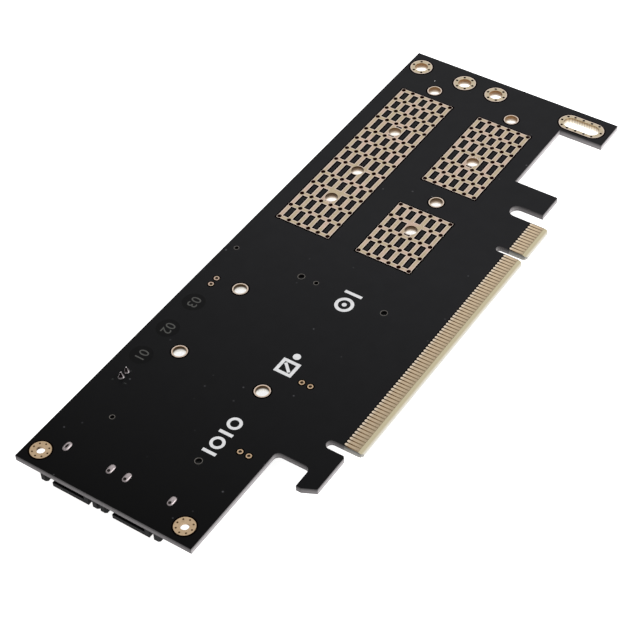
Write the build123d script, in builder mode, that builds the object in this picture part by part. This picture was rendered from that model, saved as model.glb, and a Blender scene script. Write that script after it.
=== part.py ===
from build123d import *
import os
from math import radians, tan

os.makedirs("parts", exist_ok=True)

# Frame: x runs along the card towards its bracket end, from the centre of the key notch.
# y runs up from the leading edge of the contact tongue, and z from the middle of the board
# out of its solder side, so every connector hangs below z = 0.

# Board
board_thickness = 1.6
card_height = 64.0
front_edge = 56.5
rear_edge = -112.5
front_lower_edge = 15.8
rear_lower_edge = 16.3
solder_face = board_thickness / 2
component_face = -board_thickness / 2

# Edge connector: two rows of contacts on each side of the board, split by the key notch
contact_pitch = 1.0
contact_width = 0.7
contact_length = 3.7
contact_setback = 1.25
short_row_count = 11
long_row_count = 71
key_to_contact = 1.5
key_width = 1.9
key_depth = 7.8
tongue_margin = 0.6
tongue_corner = 0.5
bevel_length = 1.2
bevel_angle = 20

# Slots beside the tongue, the tabs and the hook
front_slot_width = 4.0
front_slot_top = 11.75
front_tab_width = 7.55
bracket_tab_width = 9.2
tab_bottom = 3.8
rear_slot_width = 2.5
rear_slot_top = 8.5
hook_stem_width = 6.6
hook_bottom = 2.9
hook_corner = 0.4
hook_arm_length = 5.75
hook_arm_top = 7.45
hook_lip = 1.3
hook_slope = 1.6
hook_radius = 1.4

# Plating: gold-faced copper that stands proud of each face and lines each hole.
# A via is drilled so fine that twelve flats stand for its circle. The board's hole round a
# lining has flats that touch it, so that the bore inside the lining is the only round one.
pad_thickness = 0.05
barrel_wall = 0.06
small_via = 0.45
via_sides = 12
drill_sides = 24

# Bracket holes and the long bracket slot, at the front edge
bracket_inset = 5.1
bracket_drops = (3.9, 17.4, 26.9)
bracket_bore = 3.5
bracket_pad = 6.2
bracket_via_circle = 4.7
bracket_via_count = 6
bracket_slot_height = 11.7
bracket_slot_length = 9.9
bracket_slot_width = 3.9
bracket_slot_rim = 1.15
bracket_slot_end_rim = 1.4
slot_via_rows = ((1.9, 4.75), (2.4, 2.95), (2.4, 0.55), (2.4, -1.85), (2.35, -4.05))
slot_via_end = 5.6

# Corner holes at the rear, countersunk from the component side
corner_inset = 4.15
corner_drop = 3.8
corner_rise = 4.7
corner_bore = 2.0
corner_pad = 5.2
corner_neck = 0.7
corner_via_circle = 3.8
corner_via_count = 8
corner_via_depth = 0.9

# Module lines: a long module and a short one lie side by side, in M.2 sockets
module_edge = -35.6
module_lengths = (30.0, 42.0, 60.0, 80.0)
upper_line = card_height - 12.25
lower_line = upper_line - 23.25
standoff_bore = 3.2
standoff_pad = 4.1

# Heat grids: lattices of plated bars and vias under the modules
grid_row_count = 6
grid_row_pitch = 2.85
grid_margin = 0.66
grid_window_height = 1.4
grid_window_gap = 0.73
grid_land = 3.95
grid_via = 0.75
grid_via_pad = 1.55
grid_via_clearance = 2.9
long_grid_columns = (17.35, 22.4, 27.4, 32.45, 37.0, 43.0, 48.05, 52.8, 57.25, 62.95, 67.3, 71.7, 75.9)
near_grid_columns = (17.3, 22.4, 27.2, 32.2, 36.8)
far_grid_columns = (48.3, 52.75, 57.2, 62.6, 67.3, 71.55, 75.95)

# Mini card line: its socket, and the holes of a half-length and a full-length card
mini_edge = -92.45
mini_line = 41.0
mini_hole_line = 40.6
mini_hole_gap = 23.15
mini_half_length = 24.0
mini_full_length = 48.05

# Pairs of unused lead holes
lead_bore = 0.8
lead_pad = 1.5
lead_gap = 2.3
upper_lead_x = -45.55
upper_lead_y = 59.1
lower_lead_xs = (-85.55, -61.6)
lower_lead_y = 21.8

# Sockets for M.2 modules, below the component side
socket_width = 21.9
socket_back = 3.7
socket_front = 4.3
socket_height = 4.2
socket_wall = 1.0
socket_floor = 1.65
socket_mouth = 1.2
socket_roof_back = 1.1
socket_stop = 0.4
socket_peg_offset = 2.4
socket_peg_gap = 19.0
upper_key_offset = 6.1
lower_key_offset = -5.6
socket_key_width = 1.1
socket_pitch = 0.5
socket_contact_width = 0.2
socket_groove = 0.26

# Socket for the mini card
mini_width = 30.0
mini_back = 4.1
mini_front = 4.3
mini_height = 5.2
mini_wall = 2.0
mini_floor = 2.2
mini_mouth = 1.3
mini_peg_gap = 23.8
mini_key_offset = -8.1
mini_key_width = 1.5
mini_pitch = 0.8
mini_contact_width = 0.3
mini_groove = 0.38

# Pegs and strips that all sockets share
small_peg = 1.0
large_peg = 1.5
peg_length = 0.9
peg_clearance = 0.05
strip_thickness = 0.15
foot_length = 0.9
riser_setback = 0.7
tip_setback = 1.0
tip_length = 0.45
tab_thickness = 0.2
tab_height = 1.6
tab_length = 2.4
tab_foot = 0.5

# Data headers at the rear edge, open to the rear, each with a tongue between two arms
upper_header_line = 49.85
header_gap = 16.5
header_face = -112.1
tongue_end = -111.9
tongue_root = -107.4
header_back = -101.0
header_half_width = 8.15
header_height = 5.0
header_edge_radius = 0.3
arm_inner = 6.6
arm_outer = 7.75
arm_tip_height = 3.6
arm_tip_length = 2.5
arm_round = 0.8
blade_lower = -5.2
blade_upper = 4.75
blade_top = 2.2
blade_thickness = 1.2
blade_leg_width = 1.15
blade_leg_height = 1.1
header_contact_count = 7
header_contact_pitch = 1.27
header_contact_width = 0.8
header_contact_thickness = 0.2
header_contact_recess = 0.6
header_tail = 1.4
lock_x = -104.45
lock_gap = 12.1
lock_thickness = 0.3
lock_width = 1.3
lock_depth = 2.7
lock_clearance = 0.03
lock_slot_length = 2.0
lock_slot_width = 0.8
joint_length = 2.7
joint_width = 1.5
joint_height = 0.35
joint_round = 0.28
joint_pit = 0.5
joint_pit_floor = 0.1
long_pit = 1.5
lock_reach = 0.25

# Upright two-pin lead header by the upper edge
lead_header_x = -80.8
lead_header_y = 58.7
lead_header_pitch = 2.05
lead_header_length = 5.9
lead_header_width = 4.5
lead_header_height = 5.2
lead_header_wall = 0.75
lead_header_floor = 1.2
lead_pin = 0.5
lead_pin_reach = 4.3
lead_pin_end = 2.0
cone_radius = 1.0
cone_tip_radius = 0.42
cone_height = 1.75
cone_waist_radius = 0.56
cone_waist_height = 0.8

# Indicator lamps and small parts on the component side
lamp_xs = (-74.0, -63.9, -53.8)
lamp_y = 59.0
lamp_length = 2.0
lamp_width = 1.25
lamp_base = 0.3
lamp_lens = 0.5
lamp_lens_chamfer = 0.12
lamp_end = 0.4
resistor_length = 1.6
resistor_width = 0.8
resistor_height = 0.45
resistor_end = 0.3
lamp_resistor_drop = 3.0
driver_offset = 5.0
driver_length = 2.9
driver_width = 1.3
driver_height = 1.05
driver_lead_width = 0.4
driver_lead_pitch = 0.95
driver_lead_thickness = 0.15
driver_span = 2.4
coupling_x = -2.5
coupling_y = 10.2
coupling_pitch = 1.5
coupling_count = 8
coupling_length = 1.0
coupling_width = 0.5
coupling_end = 0.25
regulator_x = -6.5
regulator_y = 15.8
regulator_length = 4.9
regulator_width = 3.9
regulator_height = 1.5
regulator_lead_count = 4
regulator_lead_pitch = 1.27
regulator_lead_width = 0.42
regulator_lead_thickness = 0.2
regulator_span = 6.0
choke_x = 3.0
choke_y = 15.6
choke_size = 5.2
choke_height = 3.0
choke_corner = 0.8
choke_end = 1.3
choke_end_thickness = 0.15
bulk_xs = (8.9, 11.1)
bulk_y = 15.2
bulk_length = 3.2
bulk_width = 1.6
bulk_height = 1.6
bulk_end = 0.5

# Derived places
tongue_front = key_to_contact + (short_row_count - 1) * contact_pitch + tongue_margin
tongue_rear = -key_to_contact - (long_row_count - 1) * contact_pitch - tongue_margin
front_tab_rear = tongue_front + front_slot_width
front_tab_front = front_tab_rear + front_tab_width
bracket_tab_rear = front_edge - bracket_tab_width
hook_front = tongue_rear - rear_slot_width
hook_rear = hook_front - hook_stem_width
hook_tip = hook_rear - hook_arm_length
bevel_drop = bevel_length * tan(radians(bevel_angle))
bracket_x = front_edge - bracket_inset
bracket_slot_pad_width = bracket_slot_width + 2 * bracket_slot_rim
bracket_slot_pad_length = bracket_slot_length + 2 * bracket_slot_end_rim
corner_x = rear_edge + corner_inset
corner_points = [(corner_x, card_height - corner_drop), (corner_x, rear_lower_edge + corner_rise)]
bracket_points = [(bracket_x, card_height - drop) for drop in bracket_drops]
lower_header_line = upper_header_line - header_gap
header_lines = (upper_header_line, lower_header_line)
upper_standoffs = [(module_edge + length, upper_line) for length in module_lengths]
lower_standoffs = [(module_edge + length, lower_line) for length in module_lengths]
loose_standoffs = [upper_standoffs[3], lower_standoffs[1], lower_standoffs[3]]
mini_points = [
    (mini_edge + mini_half_length, mini_hole_line + mini_hole_gap / 2),
    (mini_edge + mini_half_length, mini_hole_line - mini_hole_gap / 2),
    (mini_edge + mini_full_length, mini_hole_line + mini_hole_gap / 2),
]
lead_points = [(upper_lead_x + side * lead_gap / 2, upper_lead_y) for side in (-1, 1)]
lead_points += [(x, lower_lead_y + side * lead_gap / 2) for x in lower_lead_xs for side in (-1, 1)]
lead_header_points = [(lead_header_x + side * lead_header_pitch / 2, lead_header_y) for side in (-1, 1)]
lock_points = [(lock_x, line + side * lock_gap / 2) for line in header_lines for side in (1, -1)]
slot_vias = [(side * across, along) for across, along in slot_via_rows for side in (-1, 1)]
slot_vias += [(0, slot_via_end), (0, -slot_via_end)]


def below(depth):
    """Height of a level that lies this far below the component side."""
    return component_face - depth


def block(x_span, y_span, z_span, mode=Mode.ADD):
    """A box between two x, two y and two z values, in the part being built."""
    low, high = sorted(z_span)
    with BuildSketch(Plane.XY.offset(low)) as profile:
        with Locations(((x_span[0] + x_span[1]) / 2, (y_span[0] + y_span[1]) / 2)):
            Rectangle(abs(x_span[1] - x_span[0]), abs(y_span[1] - y_span[0]))
    extrude(profile.sketch, amount=high - low, mode=mode)


def strips(x_span, width, y_places, z_span, mode=Mode.ADD):
    """Like boxes side by side, one centred on each y place."""
    low, high = sorted(z_span)
    centre = (x_span[0] + x_span[1]) / 2
    with BuildSketch(Plane.XY.offset(low)) as profile:
        with Locations(*[(centre, y) for y in y_places]):
            Rectangle(abs(x_span[1] - x_span[0]), width)
    extrude(profile.sketch, amount=high - low, mode=mode)


def ring_points(centre, count, circle, start=90):
    """Points spaced evenly round a centre."""
    return [
        (centre[0] + place.position.X, centre[1] + place.position.Y)
        for place in PolarLocations(circle / 2, count, start_angle=start)
    ]


# Heat grids
def grid_rows(line):
    """Heights of the via rows, three above and three below the line of the standoff holes."""
    middle = (grid_row_count - 1) / 2
    return [line + (index - middle) * grid_row_pitch for index in range(grid_row_count)]


def grid_vias(columns, line, holes):
    """Every crossing of a column and a row that stays clear of the standoff holes."""
    crossings = [(module_edge + column, row) for column in columns for row in grid_rows(line)]
    return [
        (x, y)
        for x, y in crossings
        if all((x - hole_x) ** 2 + (y - hole_y) ** 2 > grid_via_clearance**2 for hole_x, hole_y in holes)
    ]


def heat_grid(columns, line, holes):
    """A lattice on both faces, joined through the board by its vias and standoff holes."""
    xs = [module_edge + column for column in columns]
    ys = grid_rows(line)
    vias = grid_vias(columns, line, holes)
    middle = ((xs[0] + xs[-1]) / 2, (ys[0] + ys[-1]) / 2)
    with BuildPart() as grid:
        with BuildSketch(Plane.XY.offset(solder_face)):
            with Locations(middle):
                Rectangle(xs[-1] - xs[0] + 2 * grid_margin, ys[-1] - ys[0] + 2 * grid_margin)
            edge_vias = [(x, y) for x, y in vias if x in (xs[0], xs[-1]) or y in (ys[0], ys[-1])]
            with Locations(*edge_vias):
                Circle(grid_via_pad / 2)
            for left, right in zip(xs, xs[1:]):
                window_width = right - left - 2 * grid_window_gap
                with Locations(*[((left + right) / 2, (low + high) / 2) for low, high in zip(ys, ys[1:])]):
                    Rectangle(window_width, grid_window_height, mode=Mode.SUBTRACT)
            with Locations(*holes):
                Circle(grid_land / 2)
            with Locations(*holes):
                Circle(standoff_bore / 2, mode=Mode.SUBTRACT)
            with Locations(*vias):
                RegularPolygon(grid_via / 2, via_sides, mode=Mode.SUBTRACT)
        extrude(amount=pad_thickness)
        with BuildSketch():
            with Locations(*vias):
                RegularPolygon(grid_via / 2 + barrel_wall, via_sides)
                RegularPolygon(grid_via / 2, via_sides, mode=Mode.SUBTRACT)
            with Locations(*holes):
                Circle(standoff_bore / 2 + barrel_wall)
                Circle(standoff_bore / 2, mode=Mode.SUBTRACT)
        extrude(amount=solder_face)
        mirror(about=Plane.XY)
    return grid


long_grid_holes = upper_standoffs[:3]
near_grid_holes = lower_standoffs[:1]
far_grid_holes = lower_standoffs[2:3]
long_heat_grid = heat_grid(long_grid_columns, upper_line, long_grid_holes)
near_heat_grid = heat_grid(near_grid_columns, lower_line, near_grid_holes)
far_heat_grid = heat_grid(far_grid_columns, lower_line, far_grid_holes)
all_grid_vias = grid_vias(long_grid_columns, upper_line, long_grid_holes)
all_grid_vias += grid_vias(near_grid_columns, lower_line, near_grid_holes)
all_grid_vias += grid_vias(far_grid_columns, lower_line, far_grid_holes)

# Circuit board: one milled sheet, with its tongue, tabs, hook and every hole
with BuildPart() as circuit_board:
    with BuildSketch(Plane.XY.offset(component_face)) as outline:
        rear_round = rear_slot_width / 2
        front_round = front_slot_width / 2
        key_round = key_width / 2
        with BuildLine():
            hook_and_body = Polyline(
                (hook_front, rear_slot_top - rear_round),
                (hook_front, hook_bottom + hook_corner),
                (hook_front - hook_corner, hook_bottom),
                (hook_tip + hook_slope, hook_bottom),
                (hook_tip, hook_arm_top - hook_lip),
                (hook_tip, hook_arm_top),
                (hook_rear, hook_arm_top),
                (hook_rear, rear_lower_edge),
                (rear_edge, rear_lower_edge),
                (rear_edge, card_height),
                (front_edge, card_height),
                (front_edge, tab_bottom),
                (bracket_tab_rear, tab_bottom),
                (bracket_tab_rear, front_lower_edge),
                (front_tab_front, front_lower_edge),
                (front_tab_front, tab_bottom),
                (front_tab_rear, tab_bottom),
                (front_tab_rear, front_slot_top - front_round),
            )
            front_slot_end = ThreePointArc(
                hook_and_body @ 1,
                (tongue_front + front_round, front_slot_top),
                (tongue_front, front_slot_top - front_round),
            )
            short_tongue = Polyline(
                front_slot_end @ 1,
                (tongue_front, tongue_corner),
                (tongue_front - tongue_corner, 0),
                (key_round + tongue_corner, 0),
                (key_round, tongue_corner),
                (key_round, key_depth - key_round),
            )
            key_end = ThreePointArc(
                short_tongue @ 1,
                (0, key_depth),
                (-key_round, key_depth - key_round),
            )
            long_tongue = Polyline(
                key_end @ 1,
                (-key_round, tongue_corner),
                (-key_round - tongue_corner, 0),
                (tongue_rear + tongue_corner, 0),
                (tongue_rear, tongue_corner),
                (tongue_rear, rear_slot_top - rear_round),
            )
            ThreePointArc(
                long_tongue @ 1,
                (tongue_rear - rear_round, rear_slot_top),
                hook_and_body @ 0,
            )
        make_face()
        throat = [(hook_rear, rear_lower_edge), (hook_rear, hook_arm_top)]
        fillet([outline.vertices().sort_by_distance(point)[0] for point in throat], hook_radius)
        with Locations(*all_grid_vias):
            RegularPolygon(grid_via / 2 + barrel_wall, via_sides, mode=Mode.SUBTRACT)
        with Locations(*upper_standoffs, *lower_standoffs, *mini_points):
            RegularPolygon(standoff_bore / 2 + barrel_wall, drill_sides, major_radius=False, mode=Mode.SUBTRACT)
        with Locations(*bracket_points):
            RegularPolygon(bracket_bore / 2 + barrel_wall, drill_sides, major_radius=False, mode=Mode.SUBTRACT)
        for point in bracket_points:
            with Locations(*ring_points(point, bracket_via_count, bracket_via_circle)):
                RegularPolygon(small_via / 2, via_sides, mode=Mode.SUBTRACT)
        with Locations((bracket_x, bracket_slot_height)):
            SlotOverall(
                bracket_slot_length + 2 * barrel_wall,
                bracket_slot_width + 2 * barrel_wall,
                rotation=90,
                mode=Mode.SUBTRACT,
            )
            with Locations(*slot_vias):
                RegularPolygon(small_via / 2, via_sides, mode=Mode.SUBTRACT)
        with Locations(*lead_points):
            RegularPolygon(lead_bore / 2 + barrel_wall, drill_sides, major_radius=False, mode=Mode.SUBTRACT)
        with Locations(*lead_header_points):
            Circle(lead_bore / 2, mode=Mode.SUBTRACT)
        with Locations(*lock_points):
            SlotOverall(lock_slot_length, lock_slot_width, mode=Mode.SUBTRACT)
        for line in (upper_line, lower_line):
            peg_x = module_edge + socket_peg_offset
            with Locations((peg_x, line + socket_peg_gap / 2)):
                Circle(small_peg / 2 + peg_clearance, mode=Mode.SUBTRACT)
            with Locations((peg_x, line - socket_peg_gap / 2)):
                Circle(large_peg / 2 + peg_clearance, mode=Mode.SUBTRACT)
        with Locations((mini_edge, mini_line + mini_peg_gap / 2)):
            Circle(small_peg / 2 + peg_clearance, mode=Mode.SUBTRACT)
        with Locations((mini_edge, mini_line - mini_peg_gap / 2)):
            Circle(large_peg / 2 + peg_clearance, mode=Mode.SUBTRACT)
    extrude(amount=board_thickness)
    with BuildSketch(Plane.YZ.offset(tongue_rear)):
        for face, inward in ((solder_face, -1), (component_face, 1)):
            with BuildLine():
                Polyline((0, face), (bevel_length, face), (0, face + inward * bevel_drop), close=True)
            make_face()
    extrude(amount=tongue_front - tongue_rear, mode=Mode.SUBTRACT)
    sink_depth = board_thickness - corner_neck
    sink_profile = [
        (0, solder_face - corner_neck),
        (corner_bore / 2 + barrel_wall, solder_face - corner_neck),
        (corner_bore / 2 + barrel_wall + sink_depth, component_face),
        (0, component_face),
    ]
    for x, y in corner_points:
        with BuildSketch(Plane.XZ.offset(-y)):
            with BuildLine():
                Polyline(*[(x + radius, level) for radius, level in sink_profile], close=True)
            make_face()
        revolve(axis=Axis((x, y, 0), (0, 0, 1)), mode=Mode.SUBTRACT)
        with BuildSketch(Plane.XY.offset(solder_face)):
            with Locations((x, y)):
                RegularPolygon(corner_bore / 2 + barrel_wall, drill_sides, major_radius=False)
        extrude(amount=-corner_neck, mode=Mode.SUBTRACT)
        with BuildSketch(Plane.XY.offset(solder_face)):
            with Locations(*ring_points((x, y), corner_via_count, corner_via_circle)):
                RegularPolygon(small_via / 2, via_sides)
        extrude(amount=-corner_via_depth, mode=Mode.SUBTRACT)
circuit_board.part.label = "circuit_board"
export_step(circuit_board.part, "parts/circuit_board.step")

for grid, name in (
    (long_heat_grid, "long_heat_grid"),
    (near_heat_grid, "near_heat_grid"),
    (far_heat_grid, "far_heat_grid"),
):
    grid.part.label = name
    export_step(grid.part, f"parts/{name}.step")


# Edge contacts: round-ended pads along both sides of the tongue
def edge_contacts(face, outward):
    """The row of pads on one face of the tongue."""
    short_row = [key_to_contact + index * contact_pitch for index in range(short_row_count)]
    long_row = [-key_to_contact - index * contact_pitch for index in range(long_row_count)]
    radius = contact_width / 2
    square_length = contact_length - radius
    with BuildPart() as contacts:
        with BuildSketch(Plane.XY.offset(face)):
            with Locations(*[(x, contact_setback + square_length / 2) for x in short_row + long_row]):
                Rectangle(contact_width, square_length)
            with Locations(*[(x, contact_setback + square_length) for x in short_row + long_row]):
                Circle(radius)
        extrude(amount=outward * pad_thickness)
    return contacts


edge_contacts_solder_side = edge_contacts(solder_face, 1)
edge_contacts_solder_side.part.label = "edge_contacts_solder_side"
export_step(edge_contacts_solder_side.part, "parts/edge_contacts_solder_side.step")
edge_contacts_component_side = edge_contacts(component_face, -1)
edge_contacts_component_side.part.label = "edge_contacts_component_side"
export_step(edge_contacts_component_side.part, "parts/edge_contacts_component_side.step")


# Plated holes: a flange on each face, joined by a barrel
def plated_holes(points, bore, pad, via_count=0, via_circle=0):
    """Linings for like round holes, with a ring of small vias in each flange if it has any."""
    with BuildPart() as linings:
        with BuildSketch(Plane.XY.offset(solder_face)):
            with Locations(*points):
                Circle(pad / 2)
                Circle(bore / 2, mode=Mode.SUBTRACT)
            if via_count:
                for point in points:
                    with Locations(*ring_points(point, via_count, via_circle)):
                        RegularPolygon(small_via / 2, via_sides, mode=Mode.SUBTRACT)
        extrude(amount=pad_thickness)
        with BuildSketch():
            with Locations(*points):
                Circle(bore / 2 + barrel_wall)
                Circle(bore / 2, mode=Mode.SUBTRACT)
        extrude(amount=solder_face)
        mirror(about=Plane.XY)
    return linings


bracket_hole_linings = plated_holes(
    bracket_points, bracket_bore, bracket_pad, bracket_via_count, bracket_via_circle
)
bracket_hole_linings.part.label = "bracket_hole_linings"
export_step(bracket_hole_linings.part, "parts/bracket_hole_linings.step")

standoff_hole_linings = plated_holes(loose_standoffs, standoff_bore, standoff_pad)
standoff_hole_linings.part.label = "standoff_hole_linings"
export_step(standoff_hole_linings.part, "parts/standoff_hole_linings.step")

mini_card_hole_linings = plated_holes(mini_points, standoff_bore, standoff_pad)
mini_card_hole_linings.part.label = "mini_card_hole_linings"
export_step(mini_card_hole_linings.part, "parts/mini_card_hole_linings.step")

lead_hole_linings = plated_holes(lead_points, lead_bore, lead_pad)
lead_hole_linings.part.label = "lead_hole_linings"
export_step(lead_hole_linings.part, "parts/lead_hole_linings.step")

with BuildPart() as bracket_slot_lining:
    with BuildSketch(Plane.XY.offset(solder_face)):
        with Locations((bracket_x, bracket_slot_height)):
            SlotOverall(bracket_slot_pad_length, bracket_slot_pad_width, rotation=90)
            SlotOverall(bracket_slot_length, bracket_slot_width, rotation=90, mode=Mode.SUBTRACT)
            with Locations(*slot_vias):
                RegularPolygon(small_via / 2, via_sides, mode=Mode.SUBTRACT)
    extrude(amount=pad_thickness)
    with BuildSketch():
        with Locations((bracket_x, bracket_slot_height)):
            SlotOverall(
                bracket_slot_length + 2 * barrel_wall,
                bracket_slot_width + 2 * barrel_wall,
                rotation=90,
            )
            SlotOverall(bracket_slot_length, bracket_slot_width, rotation=90, mode=Mode.SUBTRACT)
    extrude(amount=solder_face)
    mirror(about=Plane.XY)
bracket_slot_lining.part.label = "bracket_slot_lining"
export_step(bracket_slot_lining.part, "parts/bracket_slot_lining.step")

# Corner linings follow the countersink down to a flange on the component side
with BuildPart() as corner_hole_linings:
    inner = corner_bore / 2
    outer = inner + barrel_wall
    lining_profile = [
        (outer, solder_face - corner_neck),
        (outer + sink_depth, component_face),
        (corner_pad / 2, component_face),
        (corner_pad / 2, component_face - pad_thickness),
        (inner + sink_depth + pad_thickness, component_face - pad_thickness),
        (inner, solder_face - corner_neck),
    ]
    for x, y in corner_points:
        with BuildSketch(Plane.XZ.offset(-y)):
            with BuildLine():
                Polyline(*[(x + radius, level) for radius, level in lining_profile], close=True)
            make_face()
        revolve(axis=Axis((x, y, 0), (0, 0, 1)))
        with BuildSketch(Plane.XY.offset(solder_face)):
            with Locations((x, y)):
                Circle(outer)
                Circle(inner, mode=Mode.SUBTRACT)
        extrude(amount=-corner_neck)
        with BuildSketch(Plane.XY.offset(solder_face)):
            with Locations((x, y)):
                Circle(corner_pad / 2)
                Circle(inner, mode=Mode.SUBTRACT)
            with Locations(*ring_points((x, y), corner_via_count, corner_via_circle)):
                RegularPolygon(small_via / 2, via_sides, mode=Mode.SUBTRACT)
        extrude(amount=pad_thickness)
corner_hole_linings.part.label = "corner_hole_linings"
export_step(corner_hole_linings.part, "parts/corner_hole_linings.step")


# Sockets: a moulding with a slot, spring contacts from both sides, and solder tabs at its ends
def contact_places(line, width, pitch, shift, key, key_width):
    """Evenly spaced contact heights across the slot, with none in the key."""
    count = int(width / pitch)
    places = [line + (index - count / 2) * pitch + shift for index in range(count + 1)]
    low = line - width / 2
    high = line + width / 2
    clear = key_width / 2 + pitch / 2
    return [y for y in places if low + pitch < y < high - pitch and abs(y - line - key) > clear]


def socket(edge, line, sizes):
    """Moulding, contacts and end tabs of one card socket whose mouth faces +x."""
    back = edge - sizes["back"]
    front = edge + sizes["front"]
    half = sizes["width"] / 2
    slot_half = half - sizes["wall"]
    slot_floor = sizes["floor"]
    slot_roof = sizes["floor"] + sizes["mouth"]
    roof_front = front - socket_roof_back
    slot_back = edge - socket_stop
    strip_level = slot_roof + strip_thickness
    groove_top = strip_level + 2 * strip_thickness
    key_line = line + sizes["key"]
    upper_row = contact_places(
        line, 2 * slot_half, sizes["pitch"], 0, sizes["key"], sizes["key_width"]
    )
    lower_row = contact_places(
        line, 2 * slot_half, sizes["pitch"], sizes["pitch"] / 2, sizes["key"], sizes["key_width"]
    )
    riser_front = front - riser_setback

    with BuildPart() as housing:
        block((back, front), (line - half, line + half), (component_face, below(sizes["height"])))
        bottom_edges = housing.faces().sort_by(Axis.Z)[0].edges()
        chamfer(bottom_edges, strip_thickness * 2)
        slot_span = (line - slot_half, line + slot_half)
        block((slot_back, front), slot_span, (below(slot_floor), below(slot_roof)), Mode.SUBTRACT)
        block((roof_front, front), slot_span, (below(slot_floor), below(sizes["height"])), Mode.SUBTRACT)
        key_span = (key_line - sizes["key_width"] / 2, key_line + sizes["key_width"] / 2)
        block((slot_back, roof_front), key_span, (below(slot_floor), below(slot_roof)))
        groove = sizes["groove"]
        strips((back, roof_front), groove, upper_row, (below(slot_roof), below(groove_top)), Mode.SUBTRACT)
        floor_levels = (component_face, below(slot_floor))
        strips((edge, riser_front), groove, lower_row, floor_levels, Mode.SUBTRACT)
        exit_levels = (component_face, below(strip_thickness))
        strips((riser_front, front), groove, lower_row, exit_levels, Mode.SUBTRACT)
        for side, peg in ((1, small_peg), (-1, large_peg)):
            with BuildSketch(Plane.XY.offset(component_face)):
                with Locations((edge + sizes["peg_offset"], line + side * sizes["peg_gap"] / 2)):
                    Circle(peg / 2)
            extrude(amount=peg_length)

    with BuildPart() as contacts:
        width = sizes["contact_width"]
        outside = back - strip_thickness
        foot_levels = (component_face, below(strip_thickness))
        strips((outside - foot_length, outside), width, upper_row, foot_levels)
        strips((outside, back), width, upper_row, (component_face, below(strip_level + strip_thickness)))
        beam_levels = (below(strip_level), below(strip_level + strip_thickness))
        strips((back, roof_front - strip_thickness), width, upper_row, beam_levels)
        tip_span = (edge + tip_setback, edge + tip_setback + tip_length)
        strips(tip_span, width, upper_row, (below(slot_roof - strip_thickness), below(strip_level)))
        strips((riser_front - strip_thickness, front + foot_length), width, lower_row, foot_levels)
        riser_levels = (component_face, below(slot_floor - strip_thickness))
        riser_span = (riser_front - 2 * strip_thickness, riser_front - strip_thickness)
        strips(riser_span, width, lower_row, riser_levels)
        arm_levels = (below(slot_floor - 2 * strip_thickness), below(slot_floor - strip_thickness))
        strips((edge + strip_thickness, riser_span[0]), width, lower_row, arm_levels)
        tip_levels = (below(slot_floor - strip_thickness), below(slot_floor + strip_thickness))
        strips(tip_span, width, lower_row, tip_levels)

    with BuildPart() as tabs:
        middle = edge + (sizes["front"] - sizes["back"]) / 2
        x_span = (middle - tab_length / 2, middle + tab_length / 2)
        for side in (-1, 1):
            wall = line + side * half
            block(x_span, (wall, wall + side * tab_thickness), (component_face, below(tab_height)))
            block(x_span, (wall, wall + side * tab_foot), (component_face, below(tab_thickness)))
    return housing, contacts, tabs


module_socket = {
    "width": socket_width,
    "back": socket_back,
    "front": socket_front,
    "height": socket_height,
    "wall": socket_wall,
    "floor": socket_floor,
    "mouth": socket_mouth,
    "key_width": socket_key_width,
    "pitch": socket_pitch,
    "contact_width": socket_contact_width,
    "groove": socket_groove,
    "peg_offset": socket_peg_offset,
    "peg_gap": socket_peg_gap,
}
mini_socket = {
    "width": mini_width,
    "back": mini_back,
    "front": mini_front,
    "height": mini_height,
    "wall": mini_wall,
    "floor": mini_floor,
    "mouth": mini_mouth,
    "key": mini_key_offset,
    "key_width": mini_key_width,
    "pitch": mini_pitch,
    "contact_width": mini_contact_width,
    "groove": mini_groove,
    "peg_offset": 0,
    "peg_gap": mini_peg_gap,
}
socket_list = (
    ("upper_module_socket", module_edge, upper_line, {**module_socket, "key": upper_key_offset}),
    ("lower_module_socket", module_edge, lower_line, {**module_socket, "key": lower_key_offset}),
    ("mini_card_socket", mini_edge, mini_line, mini_socket),
)
for socket_name, edge, line, sizes in socket_list:
    for piece, suffix in zip(socket(edge, line, sizes), ("housing", "contacts", "solder_tabs")):
        piece.part.label = f"{socket_name}_{suffix}"
        export_step(piece.part, f"parts/{socket_name}_{suffix}.step")


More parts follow.
